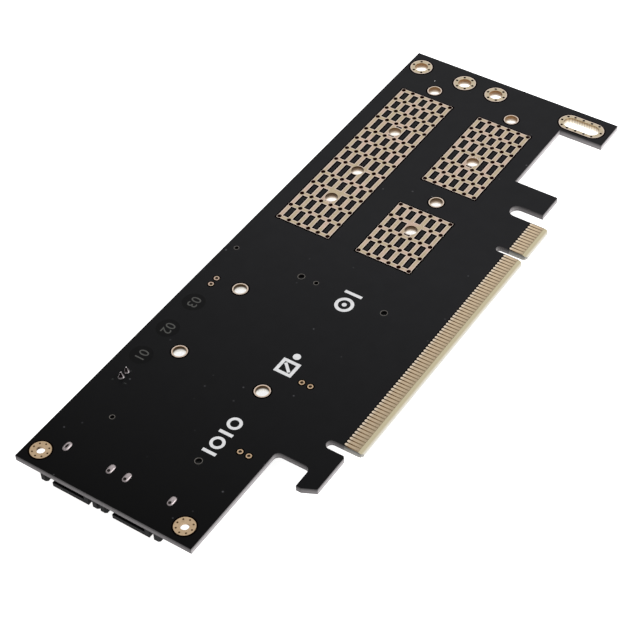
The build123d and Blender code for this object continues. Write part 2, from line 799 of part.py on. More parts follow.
# Data headers: a moulding, seven contacts, two board locks and their solder joints each
def data_header(line, first_pit):
    """One open header; its first joint has a pit of the given length."""
    z_top = component_face
    z_low = below(header_height)
    tip_low = below(arm_tip_height)
    blade_levels = (below(blade_top), below(blade_top + blade_thickness))
    contact_levels = (below(blade_top + blade_thickness - header_contact_thickness), blade_levels[1])
    middle = line + (blade_lower + blade_upper) / 2
    centre = (header_contact_count - 1) / 2
    places = [middle + (index - centre) * header_contact_pitch for index in range(header_contact_count)]
    lock_lines = [line + side * lock_gap / 2 for side in (1, -1)]
    contact_front = tongue_end + header_contact_recess

    with BuildPart() as housing:
        body = (line - header_half_width, line + header_half_width)
        block((tongue_root, header_back), body, (z_top, z_low))
        for side in (-1, 1):
            arm = sorted((line + side * arm_inner, line + side * arm_outer))
            block((header_face + arm_tip_length, tongue_root), arm, (z_top, z_low))
        long_edges = housing.edges().filter_by(Axis.X).group_by(Axis.Z)[0]
        fillet(long_edges, header_edge_radius)
        for side in (-1, 1):
            arm = sorted((line + side * arm_inner, line + side * arm_outer))
            with BuildSketch(Plane.XZ.offset(-arm[0])):
                with BuildLine():
                    Polyline(
                        (header_face + arm_tip_length, z_top),
                        (header_face, z_top),
                        (header_face, tip_low + arm_round),
                        (header_face + arm_round, tip_low),
                        (header_face + arm_tip_length, tip_low),
                        close=True,
                    )
                make_face()
            extrude(amount=-(arm[1] - arm[0]))
        block((tongue_end, tongue_root), (line + blade_lower, line + blade_upper), blade_levels)
        leg = (line + blade_lower, line + blade_lower + blade_leg_width)
        block((tongue_end, tongue_root), leg, (below(blade_top - blade_leg_height), blade_levels[0]))
        strips((contact_front, header_back), header_contact_width, places, contact_levels, Mode.SUBTRACT)
        pocket = lock_width + 2 * lock_clearance
        for lock_line in lock_lines:
            half = lock_thickness / 2 + lock_clearance
            pocket_span = (lock_x - pocket / 2, lock_x + pocket / 2)
            pocket_levels = (z_top, below(lock_depth + lock_clearance))
            block(pocket_span, (lock_line - half, lock_line + half), pocket_levels, Mode.SUBTRACT)

    with BuildPart() as contacts:
        outside = header_back + header_contact_thickness
        strips((contact_front, header_back), header_contact_width, places, contact_levels)
        strips((header_back, outside), header_contact_width, places, (z_top, contact_levels[1]))
        foot_levels = (z_top, below(header_contact_thickness))
        strips((outside, outside + header_tail), header_contact_width, places, foot_levels)

    leg_end = solder_face + lock_reach
    with BuildPart() as locks:
        for lock_line in lock_lines:
            lock_span = (lock_x - lock_width / 2, lock_x + lock_width / 2)
            sheet = (lock_line - lock_thickness / 2, lock_line + lock_thickness / 2)
            block(lock_span, sheet, (below(lock_depth), leg_end))

    with BuildPart() as joints:
        with BuildSketch(Plane.XY.offset(solder_face)):
            with Locations(*[(lock_x, lock_line) for lock_line in lock_lines]):
                SlotOverall(joint_length, joint_width)
        extrude(amount=joint_height)
        fillet(joints.faces().group_by(Axis.Z)[-1].edges(), joint_round)
        for lock_line in lock_lines:
            lock_span = (lock_x - lock_width / 2, lock_x + lock_width / 2)
            sheet = (lock_line - lock_thickness / 2, lock_line + lock_thickness / 2)
            block(lock_span, sheet, (solder_face, leg_end), Mode.SUBTRACT)
        pit_plane = Plane.XY.offset(solder_face + joint_pit_floor)
        with BuildSketch(pit_plane):
            with Locations((lock_x - joint_length / 2 + joint_width / 2, lock_lines[1])):
                Circle(joint_pit / 2)
            if first_pit > joint_pit:
                with Locations((lock_x, lock_lines[0])):
                    SlotOverall(first_pit, joint_pit)
            else:
                with Locations((lock_x - joint_length / 2 + joint_width / 2, lock_lines[0])):
                    Circle(joint_pit / 2)
        extrude(amount=joint_height, mode=Mode.SUBTRACT)
    return housing, contacts, locks, joints


for header_name, line, first_pit in (
    ("upper_data_header", upper_header_line, long_pit),
    ("lower_data_header", lower_header_line, joint_pit),
):
    suffixes = ("housing", "contacts", "board_locks", "solder_joints")
    for piece, suffix in zip(data_header(line, first_pit), suffixes):
        piece.part.label = f"{header_name}_{suffix}"
        export_step(piece.part, f"parts/{header_name}_{suffix}.step")

# Lead header: an upright shroud with two square pins, soldered on the solder side
with BuildPart() as lead_header_shroud:
    half_length = lead_header_length / 2
    half_width = lead_header_width / 2
    block(
        (lead_header_x - half_length, lead_header_x + half_length),
        (lead_header_y - half_width, lead_header_y + half_width),
        (component_face, below(lead_header_height)),
    )
    block(
        (lead_header_x - half_length + lead_header_wall, lead_header_x + half_length - lead_header_wall),
        (lead_header_y - half_width + lead_header_wall, lead_header_y + half_width - lead_header_wall),
        (below(lead_header_floor), below(lead_header_height)),
        Mode.SUBTRACT,
    )
    for x, y in lead_header_points:
        block(
            (x - lead_pin / 2, x + lead_pin / 2),
            (y - lead_pin / 2, y + lead_pin / 2),
            (component_face, below(lead_header_floor)),
            Mode.SUBTRACT,
        )
lead_header_shroud.part.label = "lead_header_shroud"
export_step(lead_header_shroud.part, "parts/lead_header_shroud.step")

with BuildPart() as lead_header_pins:
    for x, y in lead_header_points:
        block(
            (x - lead_pin / 2, x + lead_pin / 2),
            (y - lead_pin / 2, y + lead_pin / 2),
            (below(lead_pin_reach), solder_face + lead_pin_end),
        )
lead_header_pins.part.label = "lead_header_pins"
export_step(lead_header_pins.part, "parts/lead_header_pins.step")

with BuildPart() as lead_header_solder:
    for x, y in lead_header_points:
        with BuildSketch(Plane.XZ.offset(-y)):
            with BuildLine():
                foot = Line((x, solder_face), (x + cone_radius, solder_face))
                flank = ThreePointArc(
                    foot @ 1,
                    (x + cone_waist_radius, solder_face + cone_waist_height),
                    (x + cone_tip_radius, solder_face + cone_height),
                )
                Polyline(flank @ 1, (x, solder_face + cone_height), foot @ 0)
            make_face()
        revolve(axis=Axis((x, y, 0), (0, 0, 1)))
        block(
            (x - lead_pin / 2, x + lead_pin / 2),
            (y - lead_pin / 2, y + lead_pin / 2),
            (solder_face, solder_face + cone_height),
            Mode.SUBTRACT,
        )
lead_header_solder.part.label = "lead_header_solder"
export_step(lead_header_solder.part, "parts/lead_header_solder.step")


# Small parts with a metal cap at each end
def capped_parts(points, length, width, height, cap, along_y):
    """Bodies and end caps of like parts, each lying along x or y on the component side."""
    across = cap / 2
    with BuildPart() as bodies:
        for x, y in points:
            half = length / 2 - cap
            spans = [(x - half, x + half), (y - width / 2, y + width / 2)]
            if along_y:
                spans = [(x - width / 2, x + width / 2), (y - half, y + half)]
            block(*spans, (component_face, below(height)))
    with BuildPart() as caps:
        for x, y in points:
            for side in (-1, 1):
                middle = side * (length / 2 - across)
                spans = [(x + middle - across, x + middle + across), (y - width / 2, y + width / 2)]
                if along_y:
                    spans = [(x - width / 2, x + width / 2), (y + middle - across, y + middle + across)]
                block(*spans, (component_face, below(height)))
    return bodies, caps


resistor_points = [(x, lamp_y - lamp_resistor_drop) for x in lamp_xs]
coupling_points = [(coupling_x - index * coupling_pitch, coupling_y) for index in range(coupling_count)]
bulk_points = [(x, bulk_y) for x in bulk_xs]
resistor_sizes = (resistor_length, resistor_width, resistor_height, resistor_end)
coupling_sizes = (coupling_length, coupling_width, coupling_width, coupling_end)
bulk_sizes = (bulk_length, bulk_width, bulk_height, bulk_end)
capped_list = (
    ("resistor", resistor_points, resistor_sizes, False),
    ("coupling_capacitor", coupling_points, coupling_sizes, True),
    ("bulk_capacitor", bulk_points, bulk_sizes, True),
)
for part_name, points, part_sizes, along_y in capped_list:
    for piece, suffix in zip(capped_parts(points, *part_sizes, along_y), ("bodies", "ends")):
        piece.part.label = f"{part_name}_{suffix}"
        export_step(piece.part, f"parts/{part_name}_{suffix}.step")

# Indicator lamps: a base with two terminals and a clear lens, one below each window
lamp_body_half = lamp_length / 2 - lamp_end
lamp_span = (lamp_y - lamp_width / 2, lamp_y + lamp_width / 2)
base_levels = (component_face, below(lamp_base))
lens_levels = (below(lamp_base), below(lamp_base + lamp_lens))

with BuildPart() as lamp_bases:
    for x in lamp_xs:
        block((x - lamp_body_half, x + lamp_body_half), lamp_span, base_levels)
lamp_bases.part.label = "lamp_bases"
export_step(lamp_bases.part, "parts/lamp_bases.step")

with BuildPart() as lamp_lenses:
    for x in lamp_xs:
        block((x - lamp_body_half, x + lamp_body_half), lamp_span, lens_levels)
    chamfer(lamp_lenses.faces().group_by(Axis.Z)[0].edges(), lamp_lens_chamfer)
lamp_lenses.part.label = "lamp_lenses"
export_step(lamp_lenses.part, "parts/lamp_lenses.step")

with BuildPart() as lamp_terminals:
    for x in lamp_xs:
        for side in (-1, 1):
            block((x + side * lamp_body_half, x + side * lamp_length / 2), lamp_span, base_levels)
lamp_terminals.part.label = "lamp_terminals"
export_step(lamp_terminals.part, "parts/lamp_terminals.step")


# Chips with gull-wing leads along their upper and lower sides
def chips(points, length, width, height, lower_leads, upper_leads, lead_width, lead_thickness, span):
    """Bodies and leads of like chips; each lead rises along its body's side."""
    with BuildPart() as bodies:
        for x, y in points:
            x_span = (x - length / 2, x + length / 2)
            y_span = (y - width / 2, y + width / 2)
            block(x_span, y_span, (component_face, below(height)))
    with BuildPart() as leads:
        for x, y in points:
            for side, offsets in ((-1, lower_leads), (1, upper_leads)):
                wall = y + side * width / 2
                for offset in offsets:
                    x_span = (x + offset - lead_width / 2, x + offset + lead_width / 2)
                    riser = (wall, wall + side * lead_thickness)
                    block(x_span, riser, (component_face, below(height / 2)))
                    block(x_span, (wall, y + side * span / 2), (component_face, below(lead_thickness)))
    return bodies, leads


driver_points = [(x + driver_offset, lamp_y) for x in lamp_xs]
middle_lead = (regulator_lead_count - 1) / 2
regulator_leads = [(index - middle_lead) * regulator_lead_pitch for index in range(regulator_lead_count)]
chip_list = (
    (
        "lamp_driver",
        chips(
            driver_points,
            driver_length,
            driver_width,
            driver_height,
            (-driver_lead_pitch, driver_lead_pitch),
            (0,),
            driver_lead_width,
            driver_lead_thickness,
            driver_span,
        ),
    ),
    (
        "regulator",
        chips(
            [(regulator_x, regulator_y)],
            regulator_length,
            regulator_width,
            regulator_height,
            regulator_leads,
            regulator_leads,
            regulator_lead_width,
            regulator_lead_thickness,
            regulator_span,
        ),
    ),
)
for chip_name, pieces in chip_list:
    for piece, suffix in zip(pieces, ("body", "leads")):
        piece.part.label = f"{chip_name}_{suffix}"
        export_step(piece.part, f"parts/{chip_name}_{suffix}.step")

# Power choke: a square moulded coil with two wrap-round terminals
with BuildPart() as power_choke_body:
    half = choke_size / 2
    with BuildSketch(Plane.XY.offset(component_face)):
        with Locations((choke_x, choke_y)):
            RectangleRounded(choke_size, choke_size, choke_corner)
    extrude(amount=-choke_height)
    chamfer(power_choke_body.faces().sort_by(Axis.Z)[0].edges(), choke_end_thickness * 2)
power_choke_body.part.label = "power_choke_body"
export_step(power_choke_body.part, "parts/power_choke_body.step")

with BuildPart() as power_choke_terminals:
    for side in (-1, 1):
        wall = choke_x + side * half
        y_span = (choke_y - choke_end, choke_y + choke_end)
        block((wall, wall + side * choke_end_thickness), y_span, (component_face, below(choke_height / 2)))
        block((wall, wall + side * choke_end / 2), y_span, (component_face, below(choke_end_thickness)))
power_choke_terminals.part.label = "power_choke_terminals"
export_step(power_choke_terminals.part, "parts/power_choke_terminals.step")
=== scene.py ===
import math

import bmesh
import bpy
import numpy as np
from bpy.props import FloatProperty, FloatVectorProperty, IntProperty, PointerProperty
from mathutils import Matrix, Vector


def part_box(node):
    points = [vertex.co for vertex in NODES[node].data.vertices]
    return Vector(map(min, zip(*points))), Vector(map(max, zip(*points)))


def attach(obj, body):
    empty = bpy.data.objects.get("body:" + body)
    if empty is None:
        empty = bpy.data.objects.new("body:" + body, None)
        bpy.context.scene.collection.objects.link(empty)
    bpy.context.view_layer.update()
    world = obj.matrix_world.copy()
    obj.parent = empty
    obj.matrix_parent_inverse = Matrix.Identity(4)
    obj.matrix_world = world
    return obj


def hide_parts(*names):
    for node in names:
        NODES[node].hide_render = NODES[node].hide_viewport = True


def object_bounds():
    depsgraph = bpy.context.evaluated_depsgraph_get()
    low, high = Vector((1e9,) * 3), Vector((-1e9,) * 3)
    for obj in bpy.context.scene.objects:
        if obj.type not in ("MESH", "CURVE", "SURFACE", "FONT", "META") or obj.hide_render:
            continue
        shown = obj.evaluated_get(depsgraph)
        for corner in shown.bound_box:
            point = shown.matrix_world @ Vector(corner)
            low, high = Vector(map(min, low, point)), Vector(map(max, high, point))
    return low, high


bl_info = {
    "name": "Adapter Card Looks",
    "version": (1, 0, 0),
    "blender": (4, 5, 0),
    "location": "View3D > Sidebar > Adapter Card",
    "description": "Dresses the adapter card's solids with finishes, solder, ink and a studio",
    "category": "Object",
}

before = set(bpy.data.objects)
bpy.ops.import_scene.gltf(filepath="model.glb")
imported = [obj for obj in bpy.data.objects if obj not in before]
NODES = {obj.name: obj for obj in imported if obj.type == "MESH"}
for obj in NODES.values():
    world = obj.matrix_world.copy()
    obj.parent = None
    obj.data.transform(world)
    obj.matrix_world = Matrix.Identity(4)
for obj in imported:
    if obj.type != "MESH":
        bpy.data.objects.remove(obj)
CAD_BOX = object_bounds()
MM = 0.001

# Levels of the card, in metres. Each pad stands a plating's thickness proud of the laminate.
PAD_UNDER, PAD_TOP = (corner[2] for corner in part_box("long_heat_grid"))
PAD_LEVELS = (PAD_TOP, PAD_UNDER)
CONTACT_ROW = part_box("edge_contacts_solder_side")
MASK_TOP = CONTACT_ROW[0][2]
MASK_UNDER = -MASK_TOP
PLATING = PAD_TOP - MASK_TOP
FLOOR_LEVEL = CAD_BOX[0][2]

# Nodes with vias, and how far the painted shade in each via spreads over the gold round it
VIA_SPREAD = {
    "long_heat_grid": 0.20 * MM,
    "near_heat_grid": 0.20 * MM,
    "far_heat_grid": 0.20 * MM,
    "bracket_hole_linings": 0.11 * MM,
    "bracket_slot_lining": 0.11 * MM,
    "corner_hole_linings": 0.0,
}
GOLD_NODES = (*VIA_SPREAD, "standoff_hole_linings", "mini_card_hole_linings", "lead_hole_linings")

# Round windows in the lacquer over the lamps, in millimetres
WINDOW_CENTRES = ((-74.0, 59.0), (-63.9, 59.0), (-53.8, 59.0))
WHITE = (1.0, 1.0, 1.0, 1.0)


class CardFinishes(bpy.types.PropertyGroup):
    """Colours of the card's own finishes."""

    mask: FloatVectorProperty(
        name="Solder mask", description="Black lacquer over the copper",
        subtype="COLOR", default=(0.0030, 0.0030, 0.0033),
    )
    laminate: FloatVectorProperty(
        name="Laminate", description="Milled edge of the glass laminate",
        subtype="COLOR", default=(0.235, 0.222, 0.226),
    )
    tongue: FloatVectorProperty(
        name="Bare tongue", description="Laminate between the edge contacts",
        subtype="COLOR", default=(0.120, 0.064, 0.024),
    )
    bevel: FloatVectorProperty(
        name="Bevel", description="Laminate on the tongue's bevel",
        subtype="COLOR", default=(0.40, 0.355, 0.24),
    )
    gold: FloatVectorProperty(
        name="Pad gold", description="Thin gold on the pads",
        subtype="COLOR", default=(0.448, 0.366, 0.245),
    )
    # Painted highlight: the pad rim's gold is brighter than the pad's
    rim: FloatVectorProperty(
        name="Pad rim", description="Gold that swells at the edge of a pad, painted brighter as a highlight",
        subtype="COLOR", default=(0.60, 0.50, 0.43),
    )
    finger: FloatVectorProperty(
        name="Contact gold", description="Hard gold on the edge contacts",
        subtype="COLOR", default=(0.485, 0.38, 0.26),
    )
    solder: FloatVectorProperty(
        name="Solder", description="Bright tin solder", subtype="COLOR", default=(0.40, 0.352, 0.357)
    )
    tin: FloatVectorProperty(
        name="Tin", description="Tinned leads and caps", subtype="COLOR", default=(0.66, 0.65, 0.63)
    )
    plastic: FloatVectorProperty(
        name="Housing plastic", description="Black moulded plastic",
        subtype="COLOR", default=(0.005, 0.005, 0.0055),
    )
    ink: FloatVectorProperty(
        name="Ink", description="White printed ink", subtype="COLOR", default=(0.69, 0.69, 0.70)
    )
    window_ink: FloatVectorProperty(
        name="Window figure", description="Bare laminate seen through a window",
        subtype="COLOR", default=(0.055, 0.055, 0.05),
    )


class CardRelief(bpy.types.PropertyGroup):
    """Sizes of what stands on the mask."""

    lip_width: FloatProperty(
        name="Lip width", description="Width of the mask's edge outside a pad",
        default=0.24 * MM, unit="LENGTH",
    )
    lip_cover: FloatProperty(
        name="Lip cover", description="How far the mask reaches over a pad's gold",
        default=0.14 * MM, unit="LENGTH",
    )
    lip_rise: FloatProperty(
        name="Lip rise", description="How far the mask climbs over a pad's edge",
        default=0.014 * MM, unit="LENGTH",
    )
    ink_height: FloatProperty(
        name="Ink height", description="Thickness of the printed ink", default=0.02 * MM, unit="LENGTH"
    )
    track_width: FloatProperty(
        name="Track width", description="Width of a copper track under the mask",
        default=0.22 * MM, unit="LENGTH",
    )
    track_height: FloatProperty(
        name="Track height", description="How far a covered track stands up",
        default=0.035 * MM, unit="LENGTH",
    )
    edge_round: FloatProperty(
        name="Moulding edge", description="Radius on the edges of mouldings",
        default=0.09 * MM, unit="LENGTH",
    )
    edge_steps: IntProperty(name="Edge steps", description="Facets across a rounded edge", default=2)


class StudioSetup(bpy.types.PropertyGroup):
    """Floor, lights and camera."""

    floor: FloatVectorProperty(
        name="Floor", description="Colour of the floor", subtype="COLOR", default=(0.92, 0.92, 0.92)
    )
    floor_glow: FloatProperty(
        name="Floor glow", description="Light given off by the floor sheet", default=0.85
    )
    sky: FloatProperty(name="Room light", description="Strength of the even room light", default=0.58)
    key_power: FloatProperty(
        name="Key light", description="Power of the large key light", default=5.5, unit="POWER"
    )
    fill_power: FloatProperty(
        name="Fill light", description="Power of the fill light", default=0.9, unit="POWER"
    )
    camera_place: FloatVectorProperty(
        name="Camera place", description="Where the camera stands",
        subtype="XYZ", default=(-0.27617, -0.13464, 0.29119),
    )
    camera_aim: FloatVectorProperty(
        name="Camera aim", description="Point that the camera looks at",
        subtype="XYZ", default=(-0.04234, 0.03086, 0.0),
    )
    camera_roll: FloatProperty(
        name="Camera roll", description="Turn of the camera about its own axis",
        default=math.radians(-2.413), unit="ROTATION",
    )
    lens: FloatProperty(name="Lens", description="Focal length in millimetres", default=98.49)


class Signal:
    """A shader socket that can be used in Python arithmetic."""

    def __init__(self, finish, socket):
        self.finish = finish
        self.socket = socket

    def maths(self, operation, *values):
        """Adds one Math node on these values and returns its output."""
        return self.finish.node("ShaderNodeMath", dict(enumerate(values)), {"operation": operation})

    def ramp(self, low, high, start=0.0, end=1.0):
        """Straight change from start to end while the signal goes from low to high."""
        sockets = {0: self, 1: low, 2: high, 3: start, 4: end}
        return self.finish.node("ShaderNodeMapRange", sockets)

    def mix(self, first, second):
        """Blend from one colour to another as the signal goes from 0 to 1."""
        sockets = {0: self, 6: opaque(first), 7: opaque(second)}
        return self.finish.node("ShaderNodeMix", sockets, {"data_type": "RGBA"}, 2)

    def tint(self, colour):
        """A colour that the signal makes lighter or darker over the surface."""
        grey = self.finish.node("ShaderNodeCombineXYZ", {0: self, 1: self, 2: self})
        sockets = {0: 1.0, 6: opaque(colour), 7: grey}
        settings = {"data_type": "RGBA", "blend_type": "MULTIPLY"}
        return self.finish.node("ShaderNodeMix", sockets, settings, 2)

    def bump(self, depth):
        """Surface normal of a relief whose height is the signal, from 0 to 1, times a depth in metres."""
        return self.finish.node("ShaderNodeBump", {"Height": self, "Distance": depth})

    def __add__(self, other):
        return self.maths("ADD", self, other)

    def __sub__(self, other):
        return self.maths("SUBTRACT", self, other)

    def __rsub__(self, other):
        return self.maths("SUBTRACT", other, self)

    def __mul__(self, other):
        return self.maths("MULTIPLY", self, other)

    def __gt__(self, other):
        return self.maths("GREATER_THAN", self, other)

    def __lt__(self, other):
        return self.maths("LESS_THAN", self, other)

    def __abs__(self):
        return self.maths("ABSOLUTE", self)

    __radd__ = __add__
    __rmul__ = __mul__


class Finish:
    """One procedural material, built node by node."""

    def __init__(self, name):
        self.material = bpy.data.materials.new(name)
        self.material.use_nodes = True
        self.tree = self.material.node_tree
        self.tree.nodes.clear()
        self.place = self.node("ShaderNodeTexCoord", output="Object")
        self.axes = self.split(self.place)

    def node(self, kind, sockets=None, settings=None, output=0):
        """Adds a node: first its settings, then its sockets' values or links. Returns one of its outputs.

        A node that ends a material has none.
        """
        made = self.tree.nodes.new(kind)
        for key, value in (settings or {}).items():
            setattr(made, key, value)
        for key, value in (sockets or {}).items():
            if isinstance(value, Signal):
                self.tree.links.new(value.socket, made.inputs[key])
            else:
                made.inputs[key].default_value = value
        return Signal(self, made.outputs[output]) if made.outputs else None

    def split(self, vector):
        """The three parts of a vector."""
        first = self.node("ShaderNodeSeparateXYZ", {0: vector})
        return tuple(Signal(self, socket) for socket in first.socket.node.outputs)

    def facing(self):
        """The three parts of the direction that the surface faces."""
        return self.split(self.node("ShaderNodeNewGeometry", output="Normal"))

    def noise(self, per_metre, detail=2.0, roughness=0.5):
        """Soft noise from 0 to 1, with this many blobs in a metre."""
        sockets = {"Vector": self.place, "Scale": per_metre, "Detail": detail, "Roughness": roughness}
        return self.node("ShaderNodeTexNoise", sockets)

    def skin(self, **sockets):
        """Ends the material in a Principled surface with these sockets, named with underscores."""
        values = {key.replace("_", " "): value for key, value in sockets.items()}
        self.node("ShaderNodeOutputMaterial", {0: self.node("ShaderNodeBsdfPrincipled", values)})
        return self.material


def opaque(colour):
    """A colour as a shader socket takes it: a signal stays, and three numbers get a full alpha."""
    return colour if isinstance(colour, Signal) else (*colour, 1.0)


def mask_grain(finish):
    """Height of the lacquer's fine orange peel and its larger waves."""
    return finish.noise(5200) * 0.35 + finish.noise(900, 2.0, 0.6) * 0.65


# Finishes
def board_finish(look):
    """Black lacquer on both faces, bare laminate on the tongue, its bevel and all milled edges."""
    finish = Finish("lacquered_laminate")
    x, y, z = finish.axes
    lengthways, _, upright = finish.facing()
    flat = abs(upright) > 0.97
    slanted = (abs(upright) > 0.5) * (1 - flat)
    (left, _, _), (right, top, _) = CONTACT_ROW
    bare_top = top - 0.12 * MM
    on_tongue = (y < bare_top) * (x > left - 0.4 * MM) * (x < right + 0.4 * MM)
    lacquered = flat * (1 - on_tongue)

    # Layers of glass cloth show as lines along a milled edge. Its painted shade is darkest under the
    # lacquer and lightest at its foot, where the floor lights it; faces turned along x are painted
    # darker, and edges towards the front end lighter
    weave = finish.node(
        "ShaderNodeTexWave",
        {"Vector": finish.place, "Scale": 1700.0, "Distortion": 2.5, "Detail": 2.0, "Detail Scale": 1.5},
        {"wave_type": "BANDS", "bands_direction": "Z"},
    )
    fibre = finish.noise(2600, 3.0, 0.6)
    shade = z.ramp(-0.1 * MM, MASK_TOP, 1.12, 0.3)
    shade = shade * abs(lengthways).ramp(0.0, 1.0, 1.05, 0.62)
    shade = shade * x.ramp(30 * MM, 44 * MM, 1.0, 1.45)
    edge = (shade * (0.72 + weave * 0.18 + fibre * 0.3)).tint(look.laminate)
    milled = on_tongue.mix(edge, shade.tint((0.42, 0.41, 0.38)))
    bevel = y.ramp(0.0, 0.5 * MM, 1.0, 0.0).mix(look.bevel, (0.62, 0.59, 0.51))
    milled = slanted.mix(milled, bevel)

    # Between the contacts the laminate is pale near the bevel and dark near the lacquer
    wear = x.ramp(left, right, 1.45, 0.95)
    bare = (wear * (0.75 + finish.noise(3000) * 0.5)).tint(look.tongue)
    bare = y.ramp(1.2 * MM, 3.6 * MM, 0.55, 0.0).mix(bare, look.bevel)
    dark_end = y.ramp(bare_top - 1.5 * MM, bare_top - 0.2 * MM)
    bare = dark_end.mix(bare, (0.004, 0.002, 0.001))

    # The lacquer is deeper over each window, where no copper lies behind it, and painted shade darkens it
    # at its lower brink
    windows, rims = (sum(part) for part in zip(*(window_ring(finish, c) for c in WINDOW_CENTRES)))
    specks = dust(finish)
    # Painted light: the lacquer is painted dark at the rear end and lighter towards the front, as light
    # falls on it
    painted_light_gradient = x.ramp(CAD_BOX[0][0], -15 * MM, 0.35, 4.1)
    lacquer = (painted_light_gradient * (0.85 + finish.noise(260, 3.0, 0.6) * 0.3)).tint(look.mask)
    lacquer = (windows * 0.55).mix(lacquer, (0.001, 0.001, 0.001))
    lacquer = specks.mix(lacquer, (0.13, 0.13, 0.14))
    # Painted shade: a near-black band along the lacquer's lower brink beside the contacts
    brink = (y < bare_top + 0.36 * MM) * (x > left) * (x < right)
    lacquer = brink.mix(lacquer, (0.0004, 0.0002, 0.0002))

    relief = mask_grain(finish) * 0.12 + fibre * (1 - lacquered) * 0.9 + rims * 0.6 + specks * 0.8
    return finish.skin(
        Base_Color=lacquered.mix(flat.mix(milled, bare), lacquer),
        Roughness=lacquered.ramp(0.0, 1.0, 0.72, 0.42) + finish.noise(700, 2.0, 0.6) * 0.06,
        Specular_IOR_Level=0.05,
        Normal=relief.bump(0.012 * MM),
    )


def window_ring(finish, centre):
    """Inside and raised rim of one round window, from the distance to its centre."""
    x, y, z = finish.axes
    radius = 2.95 * MM
    across = x - centre[0] * MM
    along = y - centre[1] * MM
    distance = x.maths("SQRT", across * across + along * along)
    inside = distance.ramp(radius - 0.2 * MM, radius, 1.0, 0.0)
    rim = abs(distance - radius).ramp(0.0, 0.18 * MM, 1.0, 0.0)
    return inside * (z > 0.0), rim * (z > 0.0)


def dust(finish):
    """Faint pale specks, in two cells of five of a cell pattern."""
    sockets = {"Vector": finish.place, "Scale": 260.0, "Randomness": 1.0}
    distance = finish.node("ShaderNodeTexVoronoi", sockets, output="Distance")
    chance = finish.split(finish.node("ShaderNodeTexVoronoi", sockets, output="Color"))[0]
    return distance.ramp(0.03, 0.085, 0.8, 0.0) * chance.ramp(0.6, 1.0)


def gold_finish(look):
    """Thin satin gold that blushes in patches, warmer at both ends; on the walls of holes it is painted
    brown in shade and pale below, where the floor lights them.
    """
    finish = Finish("pad_gold")
    x, y, z = finish.axes
    wall = abs(finish.facing()[2]) < 0.6
    corner_pads = x.ramp(-100 * MM, -98 * MM, 1.0, 0.0)
    rear_holes = (x < -30 * MM) * (x > -100 * MM) * (y > 20 * MM)
    lead_pads = rear_holes * (x < -60 * MM)
    bracket_end = x > 46 * MM
    face = finish.noise(330).ramp(0.46, 0.62).mix(look.gold, (0.51, 0.378, 0.298))
    face = lead_pads.mix(face, (0.50, 0.355, 0.225))
    face = bracket_end.mix(face, (0.50, 0.42, 0.30))
    face = corner_pads.mix(face, (0.50, 0.365, 0.23))
    face = (0.84 + finish.noise(1300, 3.0, 0.6) * 0.32).tint(face)

    # The wall of a hole is brown in its own shade and pale below, where the floor lights it
    upper = x.ramp(10 * MM, 52 * MM, 0.36, 1.75).tint((0.15, 0.075, 0.026))
    middle = x.ramp(-45 * MM, 20 * MM, 0.45, 1.0).tint((0.30, 0.215, 0.15))
    shaded = z.ramp(-0.45 * MM, 0.6 * MM).mix(middle, upper)
    shaded = corner_pads.mix(shaded, (0.42, 0.31, 0.20))
    lit = rear_holes.mix((0.72, 0.64, 0.54), (0.9, 0.88, 0.82))
    bore = (z - rear_holes * (0.3 * MM)).ramp(-0.75 * MM, -0.2 * MM).mix(lit, shaded)

    # The bracket slot's wall is scalloped by its milling. The scallops' shading is painted as stripes,
    # and the wall is painted brown in shade at the top and pale below, where the floor lights it
    in_slot = (x > 48 * MM) * (y < 18 * MM)
    scallop_shading = y.maths("SINE", y * (math.tau / (0.7 * MM)))
    slot_wall_shading = z.ramp(-0.75 * MM, 0.5 * MM).mix((0.92, 0.86, 0.74), (0.29, 0.2, 0.105))
    bore = in_slot.mix(bore, (0.88 + scallop_shading * 0.16).tint(slot_wall_shading))
    bore = (0.8 + finish.noise(2500) * 0.4).tint(bore)
    return finish.skin(
        Base_Color=wall.mix(face, bore),
        Metallic=1.0,
        Roughness=finish.noise(2200).ramp(0.3, 0.7, 0.40, 0.52),
        Normal=finish.noise(6000, 2.0, 0.6).bump(0.006 * MM),
    )


def contact_finish(look):
    """Hard gold, polished along its length, with a painted highlight at its end by the lacquer, and dull
    near the bevel.
    """
    finish = Finish("contact_gold")
    x, y, _ = finish.axes
    (left, foot, _), (right, top, _) = CONTACT_ROW
    stretch = finish.node("ShaderNodeMapping", {"Vector": finish.place, "Scale": (9.0, 0.5, 1.0)})
    streak = finish.node("ShaderNodeTexNoise", {"Vector": stretch, "Scale": 900.0, "Detail": 2.0})
    tone = x.ramp(left, right, 0.82, 1.04) * y.ramp(foot, foot + 1.6 * MM, 0.82, 1.03)
    # Painted highlight: the end by the lacquer is paler
    tip_highlight = y.ramp(top - 0.9 * MM, top - 0.2 * MM, 0.0, 0.55)
    colour = (tone * (0.88 + streak * 0.24)).tint(look.finger)
    return finish.skin(
        Base_Color=tip_highlight.mix(colour, (0.74, 0.64, 0.53)),
        Metallic=1.0,
        Roughness=0.30 + streak * 0.14,
        Normal=streak.bump(0.003 * MM),
    )


def metal_finish(name, colour, roughness, grain):
    """Plain metal with a fine grain."""
    finish = Finish(name)
    speckle = finish.noise(grain, 3.0, 0.6)
    return finish.skin(
        Base_Color=(0.86 + speckle * 0.28).tint(colour),
        Metallic=1.0,
        Roughness=roughness - 0.08 + speckle * 0.16,
        Normal=speckle.bump(0.004 * MM),
    )


